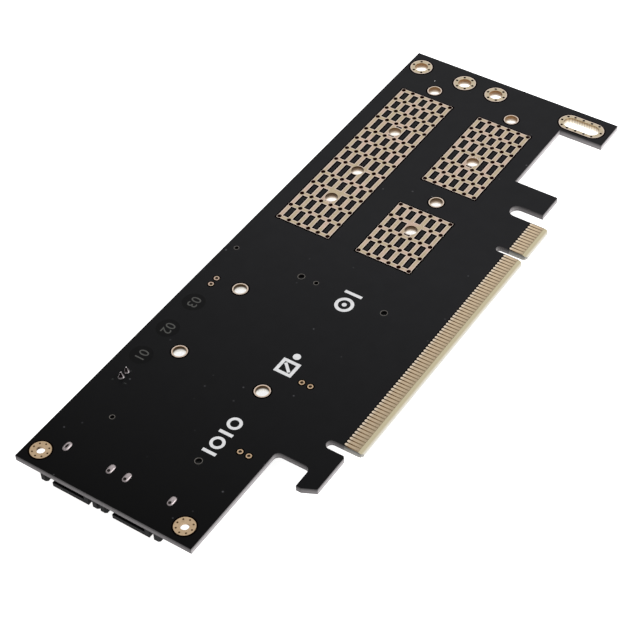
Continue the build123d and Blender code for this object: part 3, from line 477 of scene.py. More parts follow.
def cone_finish():
    """Bright solder, with a painted dark reflection down the flank that faces the board's rear lower
    corner, eased near the foot to paint a brighter band.
    """
    finish = Finish("bright_solder")
    across, along, upright = finish.facing()
    # Painted reflection: the flank that faces the board's rear lower corner is dark, but not on the domed
    # tip
    dark_reflection = (across * -0.816 + along * -0.578).ramp(0.40, 0.62)
    dark_reflection = dark_reflection * upright.ramp(0.75, 0.9, 1.0, 0.0)
    # Painted highlight: the dark is weaker near the foot, which shows a brighter band
    dark_reflection = dark_reflection * finish.axes[2].ramp(MASK_TOP + 0.1 * MM, MASK_TOP + 0.4 * MM, 0.55, 1.0)
    speckle = finish.noise(2500, 3.0, 0.6)
    solder = (0.75 + speckle * 0.4).tint((0.74, 0.68, 0.69))
    return finish.skin(
        Base_Color=dark_reflection.mix(solder, (0.012, 0.008, 0.009)),
        Metallic=1.0,
        Roughness=0.22 + speckle * 0.16,
        Normal=speckle.bump(0.004 * MM),
    )


def moulded_finish(name, colour, roughness, grain, depth=0.008, shine=0.3):
    """Moulded or pressed material with a fine grain and slight cloudiness."""
    finish = Finish(name)
    speckle = finish.noise(grain, 2.0, 0.6)
    cloud = finish.noise(grain / 9)
    return finish.skin(
        Base_Color=(0.8 + cloud * 0.4).tint(colour),
        Roughness=roughness - 0.05 + speckle * 0.1,
        Specular_IOR_Level=shine,
        Normal=speckle.bump(depth * MM),
    )


def lacquer_finish(name, colour, roughness, shine=0.05):
    """The board's lacquer, for what it covers."""
    finish = Finish(name)
    return finish.skin(
        Base_Color=(0.85 + finish.noise(260, 3.0, 0.6) * 0.3).tint(colour),
        Roughness=roughness + finish.noise(700, 2.0, 0.6) * 0.06,
        Specular_IOR_Level=shine,
        Normal=mask_grain(finish).bump(0.0015 * MM),
    )


def peg_hole_finish():
    """Drilled laminate: pale at the rim, with painted shade, nearly black, down the hole."""
    finish = Finish("drilled_rim")
    rim = abs(finish.axes[2]).ramp(MASK_TOP - 0.03 * MM, MASK_TOP)
    pale = (0.6 + finish.noise(2500) * 0.8).tint((0.13, 0.12, 0.11))
    colour = rim.mix((0.006, 0.005, 0.005), pale)
    return finish.skin(Base_Color=colour, Roughness=0.6, Specular_IOR_Level=0.1)


def lens_finish():
    """Cloudy clear resin."""
    finish = Finish("lamp_resin")
    cloud = finish.noise(1800)
    return finish.skin(
        Base_Color=(0.85 + cloud * 0.2).tint((0.86, 0.84, 0.70)),
        Roughness=0.12 + cloud * 0.1,
        Transmission_Weight=0.35,
        IOR=1.5,
    )


# Meshes
def coat(mesh, material):
    """Gives a mesh its one material."""
    mesh.materials.clear()
    mesh.materials.append(material)


def dress(material, *nodes):
    """Gives a material to CAD nodes that keep their own shape."""
    for node in nodes:
        coat(NODES[node].data, material)


def weld(mesh, distance, flatten=False):
    """Merges points that lie within a distance, and joins the triangles of flat faces if asked."""
    shape = bmesh.new()
    shape.from_mesh(mesh)
    bmesh.ops.remove_doubles(shape, verts=shape.verts, dist=distance)
    if flatten:
        bmesh.ops.dissolve_limit(shape, angle_limit=math.radians(1), verts=shape.verts, edges=shape.edges)
    shape.to_mesh(mesh)
    shape.free()


def fix_piece(name, mesh, material):
    """Coats a mesh and fixes it to the card as a new piece."""
    mesh.name = name
    coat(mesh, material)
    piece = bpy.data.objects.new(name, mesh)
    bpy.context.scene.collection.objects.link(piece)
    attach(piece, "root")
    return piece


def add_piece(name, points, faces, material, slot, smooth=True):
    """Makes a piece from arrays of points and faces, in metres. The weld closes seams and poles."""
    mesh = bpy.data.meshes.new(name)
    mesh.from_pydata(np.asarray(points, float).tolist(), [], np.asarray(faces, int).tolist())
    weld(mesh, 0.0002 * MM)
    mesh.polygons.foreach_set("use_smooth", np.full(len(mesh.polygons), smooth))
    mesh.validate()
    mesh.update()
    return fix_piece(name, mesh, material)


def grid_faces(rows, columns, closed=False):
    """Quads over a grid of points, row by row. A closed grid joins its last column to its first."""
    row = np.arange(rows - 1)[:, None] * columns
    column = np.arange(columns if closed else columns - 1)[None, :]
    following = (column + 1) % columns
    corners = (row + column, row + following, row + columns + following, row + columns + column)
    return np.stack(corners, -1).reshape(-1, 4)


def merge(parts):
    """Joins several (points, faces) meshes into one."""
    starts = np.cumsum([0] + [len(points) for points, faces in parts[:-1]])
    points = np.concatenate([points for points, faces in parts])
    faces = np.concatenate([faces + start for (_, faces), start in zip(parts, starts)])
    return points, faces


def surface_edges(node, level):
    """Outline edges of a node's flat face at one level, each with the face on its left.

    Corners of the loose triangles are matched by their rounded place. An edge that only one flat
    triangle uses is on the outline.
    """
    grain = 0.001 * MM
    least_area = 1e-16
    mesh = NODES[node].data
    mesh.calc_loop_triangles()
    places = np.empty(len(mesh.vertices) * 3)
    mesh.vertices.foreach_get("co", places)
    corners = np.empty(len(mesh.loop_triangles) * 3, int)
    mesh.loop_triangles.foreach_get("vertices", corners)
    rounded = np.round(places.reshape(-1, 3) / grain).astype(np.int64)
    unique, inverse = np.unique(rounded, axis=0, return_inverse=True)
    triangles = inverse.reshape(-1)[corners].reshape(-1, 3)
    points = unique * grain
    flat = np.all(np.abs(points[triangles][:, :, 2] - level) < 2 * grain, axis=1)
    triangles = triangles[flat]
    sides = points[triangles]
    turn = np.cross(sides[:, 1, :2] - sides[:, 0, :2], sides[:, 2, :2] - sides[:, 0, :2])
    triangles = np.where((turn > 0)[:, None], triangles, triangles[:, ::-1])
    triangles = triangles[np.abs(turn) > least_area]
    edges = np.concatenate([triangles[:, pair] for pair in ([0, 1], [1, 2], [2, 0])])
    size = len(points)
    forward = edges[:, 0] * size + edges[:, 1]
    backward = edges[:, 1] * size + edges[:, 0]
    return points[:, :2], edges[~np.isin(forward, backward)]


def outline_loops(points, edges):
    """Sorts outline edges into loops, and finds the loops that are round openings.

    Every loop gets the smallest corner number on it, found by doubling the jump along the loop. A
    loop's signed area says whether it is an opening, and the spread of its radii whether it is
    round. Returns for each edge whether its opening is round and whether it is any opening, and the
    round openings' centres and radii.
    """
    size = len(points)
    label = np.arange(size)
    jump = np.arange(size)
    jump[edges[:, 0]] = edges[:, 1]
    for _ in range(int(math.log2(size)) + 1):
        label = np.minimum(label, label[jump])
        jump = jump[jump]
    loop = label[edges[:, 0]]
    first, second = points[edges[:, 0]], points[edges[:, 1]]
    area = np.bincount(loop, np.cross(first, second) / 2, size)
    count = np.maximum(np.bincount(loop, minlength=size), 1)
    centre = np.stack([np.bincount(loop, first[:, axis], size) / count for axis in (0, 1)], -1)
    radius = np.linalg.norm(first - centre[loop], axis=1)
    mean = np.bincount(loop, radius, size) / count
    variance = np.bincount(loop, radius**2, size) / count - mean**2
    spread = np.sqrt(np.maximum(variance, 0)) / np.maximum(mean, 1e-9)
    most_spread, fewest_corners = 0.05, 10
    round_opening = (area < 0) & (spread < most_spread) & (count >= fewest_corners)
    return round_opening[loop], area[loop] < 0, centre[round_opening], mean[round_opening]


def ribbon(node, level, across, height):
    """Strip along the outline of a pad: steps across it, outwards, and the height at each step.

    Each outline corner moves outwards along the mean of its two edges' normals, lengthened at a
    sharp corner so that the strip keeps its width. Heights count away from the board. A heat grid's
    windows count as outline. Drilled holes and the slot don't.
    """
    points, edges = surface_edges(node, level)
    is_round, is_opening = outline_loops(points, edges)[:2]
    edges = edges[~(is_round if node.endswith("heat_grid") else is_opening)]
    run = points[edges[:, 1]] - points[edges[:, 0]]
    outward = np.stack([run[:, 1], -run[:, 0]], -1) / np.linalg.norm(run, axis=1)[:, None]
    total = np.zeros_like(points)
    np.add.at(total, edges[:, 0], outward)
    np.add.at(total, edges[:, 1], outward)
    length = np.maximum(np.linalg.norm(total, axis=1), 1e-6)
    longest = 1.8
    reach = np.clip(2 / length, 1.0, longest)[:, None]
    outward = total / length[:, None] * reach
    used, corner_of = np.unique(edges, return_inverse=True)
    corner_of = corner_of.reshape(edges.shape)
    flat = points[used][None, :, :] + outward[used][None, :, :] * across[:, None, None]
    heights = (level + np.sign(level) * height)[:, None, None]
    solid = np.concatenate([flat, np.broadcast_to(heights, (*flat.shape[:2], 1))], -1).reshape(-1, 3)
    step = np.arange(len(across) - 1)[:, None] * len(used)
    start, end = corner_of[:, 0][None, :], corner_of[:, 1][None, :]
    faces = np.stack([step + start, step + len(used) + start, step + len(used) + end, step + end], -1)
    faces = faces.reshape(-1, 4)
    return solid, faces if level > 0 else faces[:, ::-1]


def turned(centre, reach, level, sides, stretch=(1.0, 1.0)):
    """Profile of radii and levels, carried round a centre and stretched along x and y.

    Each level has one radius, or one for each of the sides.
    """
    angle = np.arange(sides) * math.tau / sides
    reach = reach.reshape(len(level), -1)
    x = centre[0] + reach * np.cos(angle) * stretch[0]
    y = centre[1] + reach * np.sin(angle) * stretch[1]
    z = np.broadcast_to(level[:, None], x.shape)
    return np.stack([x, y, z], -1).reshape(-1, 3), grid_faces(len(level), sides, closed=True)


def dish(centre, radius, level, depth, sides=16, stretch=(1.0, 1.0)):
    """Shallow dish that closes a round opening on the side where its level lies.

    With s from 1 at the rim to 0 at the middle, the dish lies depth * (1 - s ** 2) below its level.
    """
    share = np.array([1.0, 0.72, 0.4, 0.0])
    heights = level - np.sign(level) * depth * (1 - share**2)
    points, faces = turned(centre, radius * share, heights, sides, stretch)
    return points, faces if level > 0 else faces[:, ::-1]


def sleeve(centre, radius, rim, low, high, sides=32):
    """Thin sleeve inside a hole, turned out over each face as a narrow rim.

    The profile runs from the rim's outside over the hole's edge, down its wall and out again.
    """
    reach = radius + rim * np.array([1.0, 0.6, 0.0, -0.3])
    level = np.array([0.0, 0.010, 0.008, -0.06]) * MM
    reach = np.concatenate([reach, reach[::-1]])
    level = np.concatenate([high + level, (low - level)[::-1]])
    return turned(centre, reach, level, sides)


def circle(centre, radius, sides=40):
    """Outline of a circle, anticlockwise."""
    angle = np.arange(sides) * math.tau / sides
    return np.stack([centre[0] + radius * np.cos(angle), centre[1] + radius * np.sin(angle)], -1)


def rectangle(low, high, inset=0.0):
    """Outline of a rectangle, anticlockwise, pulled in by an inset."""
    left, bottom = low[0] + inset, low[1] + inset
    right, top = high[0] - inset, high[1] - inset
    return np.array([(left, bottom), (right, bottom), (right, top), (left, top)])


def bar(start, end, width):
    """Outline of a straight bar between two points."""
    start, end = np.asarray(start, float), np.asarray(end, float)
    run = (end - start) / np.linalg.norm(end - start)
    side = np.array([-run[1], run[0]]) * width / 2
    return np.array([start - side, end - side, end + side, start + side])


def ink_shape(shapes, sign, height):
    """Printed shapes on the solder side, or with sign -1 on the component side.

    Each is given in millimetres by its outline, or by an outer and an inner outline with as many
    corners. Its rows of points climb the outer wall and cross the top, and then meet in the middle or
    go down the inner wall.
    """
    base = sign * MASK_TOP
    top = base + sign * height
    parts = []
    for shape in shapes:
        outer = shape[0] * MM
        rows = [(outer, base), (outer, top)]
        if len(shape) > 1:
            rows += [(shape[1] * MM, top), (shape[1] * MM, base)]
        else:
            rows += [(np.broadcast_to(outer.mean(0), outer.shape), top)]
        points = np.concatenate([np.column_stack([row, np.full(len(row), z)]) for row, z in rows])
        faces = grid_faces(len(rows), len(outer), closed=True)
        parts.append((points, faces if sign > 0 else faces[:, ::-1]))
    return merge(parts)


def track(path, width, base, height):
    """Strip that stands down from its base along a path: at each corner it turns on the mean normal.

    The section is a low trapezium, so four points stand across the path at each of its corners. Across
    a corner they lie 2 / n times as far out, where n is the length of its two unit normals' sum.
    """
    path = np.asarray(path, float) * MM
    run = np.diff(path, axis=0)
    run /= np.linalg.norm(run, axis=1)[:, None]
    normal = np.stack([-run[:, 1], run[:, 0]], -1)
    ends = np.concatenate([normal[:1], normal[:-1] + normal[1:], normal[-1:]])
    length = np.linalg.norm(ends, axis=1)
    scale = np.where(np.arange(len(ends)) % (len(ends) - 1) == 0, 1.0, 2 / length)
    side = ends / length[:, None] * scale[:, None]
    across = np.array([-0.5, -0.38, 0.38, 0.5]) * width
    rise = np.array([0.0, height, height, 0.0])
    flat = path[:, None, :] + side[:, None, :] * across[None, :, None]
    heights = np.broadcast_to(base - rise[None, :, None], (len(path), 4, 1))
    return np.concatenate([flat, heights], -1).reshape(-1, 3), grid_faces(len(path), 4)


def solder_cone(centre, base_radius, tip_radius, height, lean):
    """Cone of solder drawn up a lead, with a nearly straight flank and a domed tip.

    With t from 0 at the foot to 1 at the tip, the radius falls as (1 - t) ** 1.15 from the foot's to
    the tip's, and the height grows with t. The section is up to 5 % out of round, and the cone leans
    along x by 3 % of its height times the lean.
    """
    turns, steps = 48, 16
    angle = np.arange(turns) * math.tau / turns
    rise = np.linspace(0, 1, steps)
    dome = np.linspace(0, np.pi / 2, 6)[1:]
    flank = tip_radius + (base_radius - tip_radius) * (1 - rise) ** 1.15
    radius = np.concatenate([flank, tip_radius * np.cos(dome)])[:, None]
    level = np.concatenate([height * rise, height + 0.6 * tip_radius * np.sin(dome)])
    wobble = 0.95 + 0.05 * np.cos(2 * angle + lean) * np.minimum(radius / tip_radius, 1)
    points, faces = turned(centre, radius * wobble, MASK_TOP + level, turns)
    points[:, 0] += lean * 0.03 * (points[:, 2] - MASK_TOP)
    return points, faces


def solder_pillow(centre, length, width, height, trough):
    """Cushion of solder in a long joint: a disc stretched into a long round shape.

    With s from 0 at the middle to 1 at the rim, a point at an angle from x lies s times half the width
    out, and s times half the spare length times tanh(3 * cos(angle)) farther along x. The height is
    (1 - s ** 2) ** 0.45 of the full one. The trough, given as (x offset, half length, half width,
    depth), sinks it by its depth times exp(-(r ** 4)), where r is 1 on the trough's ellipse.
    """
    turns, steps = 56, 18
    angle = np.arange(turns) * math.tau / turns
    spread = np.linspace(0, 1, steps)[:, None]
    core = (length - width) / 2
    across = spread * (np.cos(angle) * width / 2 + core * np.tanh(3 * np.cos(angle)))
    along = spread * np.sin(angle) * width / 2
    full = height * (1 - spread**2) ** 0.45
    offset, half_length, half_width, depth = trough
    inside = ((across - offset) / half_length) ** 2 + (along / half_width) ** 2
    level = full - depth * np.exp(-(inside**2))
    points = np.stack([centre[0] + across, centre[1] + along, MASK_TOP + level], -1)
    return points.reshape(-1, 3), grid_faces(steps, turns, closed=True)[:, ::-1]


def rounded_copy(node, material, share=1.0):
    """Copy of a solid that stands for it, with its edges rounded by a share of the set radius."""
    relief = bpy.context.scene.card_relief
    mesh = NODES[node].data.copy()
    weld(mesh, 0.001 * MM, flatten=True)
    mesh.polygons.foreach_set("use_smooth", np.full(len(mesh.polygons), False))
    piece = fix_piece(f"{node}_rounded", mesh, material)
    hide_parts(node)
    bevel = piece.modifiers.new("edges", "BEVEL")
    bevel.width = relief.edge_round * share
    bevel.segments = relief.edge_steps
    bevel.limit_method = "ANGLE"
    bevel.angle_limit = math.radians(35)
    bevel.use_clamp_overlap = True
    return piece


def round_openings(node, level, smallest, largest):
    """Centres and radii of a node's round openings at one level, within a range of radii."""
    centres, radii = outline_loops(*surface_edges(node, level))[2:]
    chosen = (radii > smallest) & (radii < largest)
    return centres[chosen], radii[chosen]


def extent(node):
    """Lowest and highest corner of a node."""
    return (np.array(corner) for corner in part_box(node))


# Operators
class CARD_OT_board(bpy.types.Operator):
    """Lacquer and laminate on the circuit board"""

    bl_idname = "card.board"
    bl_label = "Circuit board"

    def execute(self, context):
        dress(board_finish(context.scene.card_finishes), "circuit_board")
        return {"FINISHED"}


class CARD_OT_plating(bpy.types.Operator):
    """Gold on the heat grids, the linings of the holes and the edge contacts"""

    bl_idname = "card.plating"
    bl_label = "Plating"

    def execute(self, context):
        look = context.scene.card_finishes
        dress(gold_finish(look), *GOLD_NODES)
        dress(contact_finish(look), "edge_contacts_solder_side", "edge_contacts_component_side")
        return {"FINISHED"}


class CARD_OT_lips(bpy.types.Operator):
    """Edge of the lacquer round each pad, and the pad's own slightly swollen rim, painted brighter as a
    highlight, on both faces
    """

    bl_idname = "card.lips"
    bl_label = "Mask edges"

    def execute(self, context):
        relief = context.scene.card_relief
        look = context.scene.card_finishes
        edge = lacquer_finish("lacquer_edge", (0.0016, 0.0007, 0.0004), 0.6, 0.0)
        gold = metal_finish("rim_sheen_gold", look.rim, 0.42, 2200)

        # Across the edge, the lacquer thins out over the gold, swells and falls back to the laminate
        cover, width = relief.lip_cover, relief.lip_width
        lip = np.array([-cover, -cover * 0.7, 0.0, width * 0.3, width * 0.7, width])
        climb = np.array([0.1, 0.8, 1.0, 0.3, 0.0, 0.0]) * relief.lip_rise
        climb[4:] = -PLATING * 0.75, -PLATING

        # The gold's rim starts under the lacquer and ends on the open pad; it is painted brighter than
        # the pad, as a highlight
        sheen_band = -np.array([2.4, 2.0, 1.0, 0.6]) * cover
        rise = np.array([-0.2, 0.5, 0.5, -0.2]) * relief.lip_rise
        for node in GOLD_NODES:
            # Lead pads are so small that the lacquer only just touches them
            share = 0.45 if node == "lead_hole_linings" else 1.0
            inside = np.where(lip < 0, share, 1.0)
            lips = [ribbon(node, level, lip * inside, climb) for level in PAD_LEVELS]
            add_piece(f"{node}_mask_edge", *merge(lips), edge, "board")
            if node not in ("lead_hole_linings", "corner_hole_linings"):
                rims = [ribbon(node, level, sheen_band, rise) for level in PAD_LEVELS]
                add_piece(f"{node}_rim", *merge(rims), gold, "board")
        return {"FINISHED"}


class CARD_OT_hole_shades(bpy.types.Operator):
    """Painted shade: dark discs that close each via, and nearly black sleeves with pale rims in the peg
    holes
    """

    bl_idname = "card.plugs"
    bl_label = "Via and peg hole shades"

    def execute(self, context):
        # Painted shade: a dark disc inside each via, dark red-brown in the grids and bracket pads, brown
        # in the corner pads
        resin = moulded_finish("via_painted_shade", (0.0085, 0.0018, 0.0008), 0.6, 4000, shine=0.0)
        shade = moulded_finish("via_shade", (0.060, 0.030, 0.009), 0.6, 4000, shine=0.0)
        lift, depth, rim_width = 0.012 * MM, 0.006 * MM, 0.13 * MM
        via_radii, peg_hole_radii = (0.1 * MM, 0.6 * MM), (0.48 * MM, 0.95 * MM)
        for node, spread in VIA_SPREAD.items():
            parts = [
                dish(centre, radius + spread, level + np.sign(level) * lift, depth)
                for level in PAD_LEVELS
                for centre, radius in zip(*round_openings(node, level, *via_radii))
            ]
            add_piece(f"{node}_via_shadow_discs", *merge(parts), resin if spread else shade, "board")
        # Painted shade: a nearly black sleeve down each peg hole, with a pale rim over each face
        holes = zip(*round_openings("circuit_board", MASK_TOP, *peg_hole_radii))
        sleeves = [sleeve(centre, radius, rim_width, MASK_UNDER, MASK_TOP) for centre, radius in holes]
        add_piece("peg_hole_shade_sleeves", *merge(sleeves), peg_hole_finish(), "board")
        return {"FINISHED"}


class CARD_OT_windows(bpy.types.Operator):
    """Plain figures in the three round windows"""

    bl_idname = "card.windows"
    bl_label = "Window figures"

    def execute(self, context):
        look = context.scene.card_finishes
        material = moulded_finish("window_figures", look.window_ink, 0.5, 4000)
        lift = 0.003 * MM

        # The figures are turned round, to be read from the card's upper edge
        for number, centre in enumerate(WINDOW_CENTRES, 1):
            text = bpy.data.curves.new(f"figure_{number}", "FONT")
            text.body = f"0{number}"
            text.size = 3.6 * MM
            text.extrude = 0.004 * MM
            text.align_x = "CENTER"
            text.align_y = "CENTER"
            carrier = bpy.data.objects.new("carrier", text)
            bpy.context.scene.collection.objects.link(carrier)
            bpy.context.view_layer.update()
            mesh = bpy.data.meshes.new_from_object(carrier)
            bpy.data.objects.remove(carrier)
            shift = Matrix.Translation((centre[0] * MM, centre[1] * MM, MASK_TOP + lift))
            mesh.transform(shift @ Matrix.Rotation(math.pi, 4, "Z"))
            fix_piece(f"window_figure_{number}", mesh, material)
        return {"FINISHED"}


class CARD_OT_ink(bpy.types.Operator):
    """Plain white marks on the solder side, and part outlines on the component side"""

    bl_idname = "card.ink"
    bl_label = "Printed ink"

    def execute(self, context):
        height = context.scene.card_relief.ink_height
        material = moulded_finish("white_ink", context.scene.card_finishes.ink, 0.6, 9000, 0.004)
        stroke, fine_line = 0.85, 0.15
        dial, wheel, disc = (-35.8, 28.35), (-79.6, 28.65), (-86.1, 28.65)
        box = ((-61.8, 26.0), (-57.2, 30.7))
        marks = (
            (circle(dial, 2.35), circle(dial, 1.5)),
            (circle(dial, 0.6),),
            (bar((-31.8, 26.0), (-31.8, 30.7), stroke),),
            (rectangle(*box), rectangle(*box, stroke)),
            (bar((-60.6, 27.2), (-58.4, 29.5), 0.75),),
            (circle((-55.6, 28.35), 0.95),),
            (circle(wheel, 1.8), circle(wheel, 1.05)),
            (bar((-82.9, 26.85), (-82.9, 30.45), stroke),),
            (circle(disc, 1.8), circle(disc, 1.05)),
            (bar((-89.2, 26.85), (-89.2, 30.45), stroke),),
            (bar((47.98, 54.0), (48.22, 53.8), 0.16),),
        )
        add_piece("solder_side_marks", *ink_shape(marks, 1, height), material, "white_plastic", False)

        # A frame round each part, a dot beside each module socket and rings round loose holes
        outlines = []
        for node, margin in (
            ("upper_module_socket_housing", 0.45),
            ("lower_module_socket_housing", 0.45),
            ("mini_card_socket_housing", 0.7),
            ("lead_header_shroud", 0.35),
            ("power_choke_body", 1.0),
            ("regulator_leads", 0.3),
            ("bulk_capacitor_bodies", 0.9),
        ):
            low, high = (corner[:2] / MM for corner in extent(node))
            frame_corners = (low - margin, high + margin)
            outlines.append((rectangle(*frame_corners), rectangle(*frame_corners, fine_line)))
        for centre in ((-28.4, 42.15), (-28.4, 18.9)):
            outlines.append((circle(centre, 0.3),))
        ring_radius = 2.9
        for centre in ((44.4, 51.75), (44.4, 28.5), (6.4, 28.5)):
            outlines.append((circle(centre, ring_radius), circle(centre, ring_radius - fine_line)))
        prints = ink_shape(outlines, -1, height)
        add_piece("component_side_outlines", *prints, material, "white_plastic", False)
        return {"FINISHED"}


class CARD_OT_tracks(bpy.types.Operator):
    """Copper tracks that show as low ridges in the component side's lacquer"""

    bl_idname = "card.tracks"
    bl_label = "Covered tracks"

    def execute(self, context):
        relief = context.scene.card_relief
        material = lacquer_finish("lacquer_over_tracks", context.scene.card_finishes.mask, 0.4)

        # From the edge contacts back along the card and up to the module sockets, with cut corners
        paths = []
        contact_top, socket_line, small_cut, cut = 10.9, -30.6, 0.5, 0.8
        for lane in range(8):
            start = -2.5 - 1.5 * lane
            level = 12.7 - 0.24 * lane
            turn = -24.0 - 0.42 * lane
            goal = 37.0 - 2.4 * lane
            rise = [(start, contact_top), (start, level - small_cut), (start - small_cut, level)]
            run = [(turn + cut, level), (turn, level + cut), (turn, goal - cut)]
            paths.append([*rise, *run, (turn - cut, goal), (socket_line, goal)])

        # From the data headers' contacts forward to the module sockets: they draw together, then step
        contact_pitch, track_pitch = 1.27, 0.45
        contact_line, fan_line, step_line, socket_line = -99.6, -98.6, -75.0, -41.2
        for line, jog, step in ((49.6, 0.24, 1.0), (33.1, -0.28, -1.0)):
            for lane in range(4):
                contact = line + (lane - 1.5) * contact_pitch
                near = line + (lane - 1.5) * track_pitch
                bend = fan_line + abs(near - contact)
                turn = step_line + jog * lane
                fan = [(contact_line, contact), (fan_line, contact), (bend, near)]
                goal = near + step
                paths.append([*fan, (turn, near), (turn + abs(step), goal), (socket_line, goal)])
        parts = [track(path, relief.track_width, MASK_UNDER, relief.track_height) for path in paths]
        add_piece("component_side_tracks", *merge(parts), material, "board")
        return {"FINISHED"}


class CARD_OT_solder(bpy.types.Operator):
    """Solder cones of the lead header and the long joints of the data headers"""

    bl_idname = "card.solder"
    bl_label = "Solder"

    def execute(self, context):
        material = metal_finish("joint_solder", context.scene.card_finishes.solder, 0.5, 2500)
        # Painted shade for the hollows in the long joints
        flux = moulded_finish("joint_pit_shade", (0.008, 0.005, 0.004), 0.4, 3000, shine=0.1)
        low, high = extent("lead_header_solder")
        radius = (high[1] - low[1]) / 2
        middle = (high[1] + low[1]) / 2
        height = high[2] - low[2]
        tip = 0.17 * MM
        cones = [
            solder_cone((x, middle), radius * girth, tip, height * rise, lean)
            for x, girth, rise, lean in (
                (low[0] + radius, 0.84, 0.82, 1.0),
                (high[0] - radius, 0.78, 0.74, -0.7),
            )
        ]
        piece = add_piece("lead_solder_cones", *merge(cones), cone_finish(), "tin")
        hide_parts("lead_header_solder")

        # Beads of flux beside the cones stand up, so their depth is below zero
        bead_depth = -0.1 * MM
        beads = [
            dish((x * MM, y * MM), radius * MM, MASK_TOP, bead_depth, 20, stretch)
            for x, y, radius, stretch in (
                (-83.5, 59.9, 0.28, (1.0, 1.0)),
                (-83.0, 56.8, 0.36, (0.7, 1.5)),
                (-79.2, 57.9, 0.2, (1.0, 1.0)),
            )
        ]
        bead = moulded_finish("flux_bead", (0.004, 0.005, 0.005), 0.16, 3000, shine=0.25)
        add_piece("flux_beads", *merge(beads), bead, "board")

        # Each joint sinks in a pit, and the upper header's first one in a slot; a dark disc in each
        # hollow paints its shade
        length, width, joint_height = 2.7 * MM, 1.5 * MM, 0.4 * MM
        pit_radius, pit_level, pit_depth = 0.33 * MM, MASK_TOP + 0.34 * MM, 0.05 * MM
        pit = (-0.68 * MM, 0.30 * MM, 0.28 * MM, 0.40 * MM)
        slot = (-0.05 * MM, 0.72 * MM, 0.26 * MM, 0.40 * MM)
        stretches = {pit: (1.1, 1.0), slot: (1.9, 0.75)}
        for header, first in (("upper_data_header", slot), ("lower_data_header", pit)):
            low, high = extent(f"{header}_solder_joints")
            x = (low[0] + high[0]) / 2
            places = ((high[1] - width / 2, first), (low[1] + width / 2, pit))
            joints = [solder_pillow((x, y), length, width, joint_height, trough) for y, trough in places]
            piece = add_piece(f"{header}_joint_pillows", *merge(joints), material, "tin")
            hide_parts(f"{header}_solder_joints")
            hollows = [
                dish((x + trough[0], y), pit_radius, pit_level, pit_depth, 24, stretches[trough])
                for y, trough in places
            ]
            add_piece(f"{header}_joint_pit_shades", *merge(hollows), flux, "board")
        return {"FINISHED"}


class CARD_OT_headers(bpy.types.Operator):
    """Data headers and lead header: mouldings with rounded edges, contacts and locks"""

    bl_idname = "card.headers"
    bl_label = "Headers"

    def execute(self, context):
        look = context.scene.card_finishes
        black = moulded_finish("header_plastic", look.plastic, 0.6, 3500, shine=0.1)
        cream = moulded_finish("shroud_plastic", (0.72, 0.69, 0.60), 0.45, 3500)
        contact = metal_finish("header_contact_gold", look.finger, 0.3, 4000)
        tin = metal_finish("lead_tin", look.tin, 0.34, 4000)
        for header in ("upper_data_header", "lower_data_header"):
            rounded_copy(f"{header}_housing", black)
            dress(contact, f"{header}_contacts")
            dress(tin, f"{header}_board_locks")
        rounded_copy("lead_header_shroud", cream)
        pins = rounded_copy("lead_header_pins", tin).data

        # The pins end inside their solder cones
        pin_end = MASK_TOP + 0.9 * MM
        places = np.empty(len(pins.vertices) * 3)
        pins.vertices.foreach_get("co", places)
        places[2::3] = np.minimum(places[2::3], pin_end)
        pins.vertices.foreach_set("co", places)
        return {"FINISHED"}


class CARD_OT_sockets(bpy.types.Operator):
    """Module sockets and mini card socket"""

    bl_idname = "card.sockets"
    bl_label = "Card sockets"

    def execute(self, context):
        look = context.scene.card_finishes
        black = moulded_finish("socket_plastic", look.plastic, 0.5, 3000)
        contact = metal_finish("spring_contact_gold", look.finger, 0.28, 4000)
        tin = metal_finish("tab_tin", look.tin, 0.36, 4000)
        for socket in ("upper_module_socket", "lower_module_socket", "mini_card_socket"):
            dress(black, f"{socket}_housing")
            dress(contact, f"{socket}_contacts")
            dress(tin, f"{socket}_solder_tabs")
        return {"FINISHED"}


class CARD_OT_small_parts(bpy.types.Operator):
    """Chips, capacitors, resistors, lamps and the power choke"""

    bl_idname = "card.small_parts"
    bl_label = "Small parts"

    def execute(self, context):
        look = context.scene.card_finishes
        tin = metal_finish("cap_tin", look.tin, 0.4, 5000)
        chip = moulded_finish("chip_resin", (0.018, 0.018, 0.019), 0.55, 6000)
        brown = moulded_finish("capacitor_ceramic", (0.32, 0.20, 0.11), 0.5, 5000)
        black = moulded_finish("resistor_glaze", (0.012, 0.012, 0.016), 0.3, 3000)
        grey = moulded_finish("choke_powder", (0.10, 0.10, 0.105), 0.6, 2500, 0.03)
        pale = moulded_finish("lamp_base_ceramic", (0.75, 0.74, 0.70), 0.5, 4000)

        # Each part's edges are rounded by a share of the set radius
        small = 0.45
        for node, share, material, slot in (
            ("power_choke_body", 1.0, grey, "ferrite"),
            ("power_choke_terminals", small, tin, "tin"),
            ("regulator_body", 1.0, chip, "black_plastic"),
            ("regulator_leads", small, tin, "tin"),
            ("lamp_driver_body", small, chip, "black_plastic"),
            ("lamp_driver_leads", small * 0.7, tin, "tin"),
            ("bulk_capacitor_bodies", 1.0, brown, "ceramic_brown"),
            ("bulk_capacitor_ends", 1.0, tin, "tin"),
            ("coupling_capacitor_bodies", small, brown, "ceramic_brown"),
            ("coupling_capacitor_ends", small, tin, "tin"),
            ("resistor_bodies", small, black, "ceramic_black"),
            ("resistor_ends", small, tin, "tin"),
            ("lamp_bases", small, pale, "white_plastic"),
            ("lamp_terminals", small, tin, "tin"),
            ("lamp_lenses", small, lens_finish(), "lens"),
        ):
            rounded_copy(node, material, share)
        return {"FINISHED"}


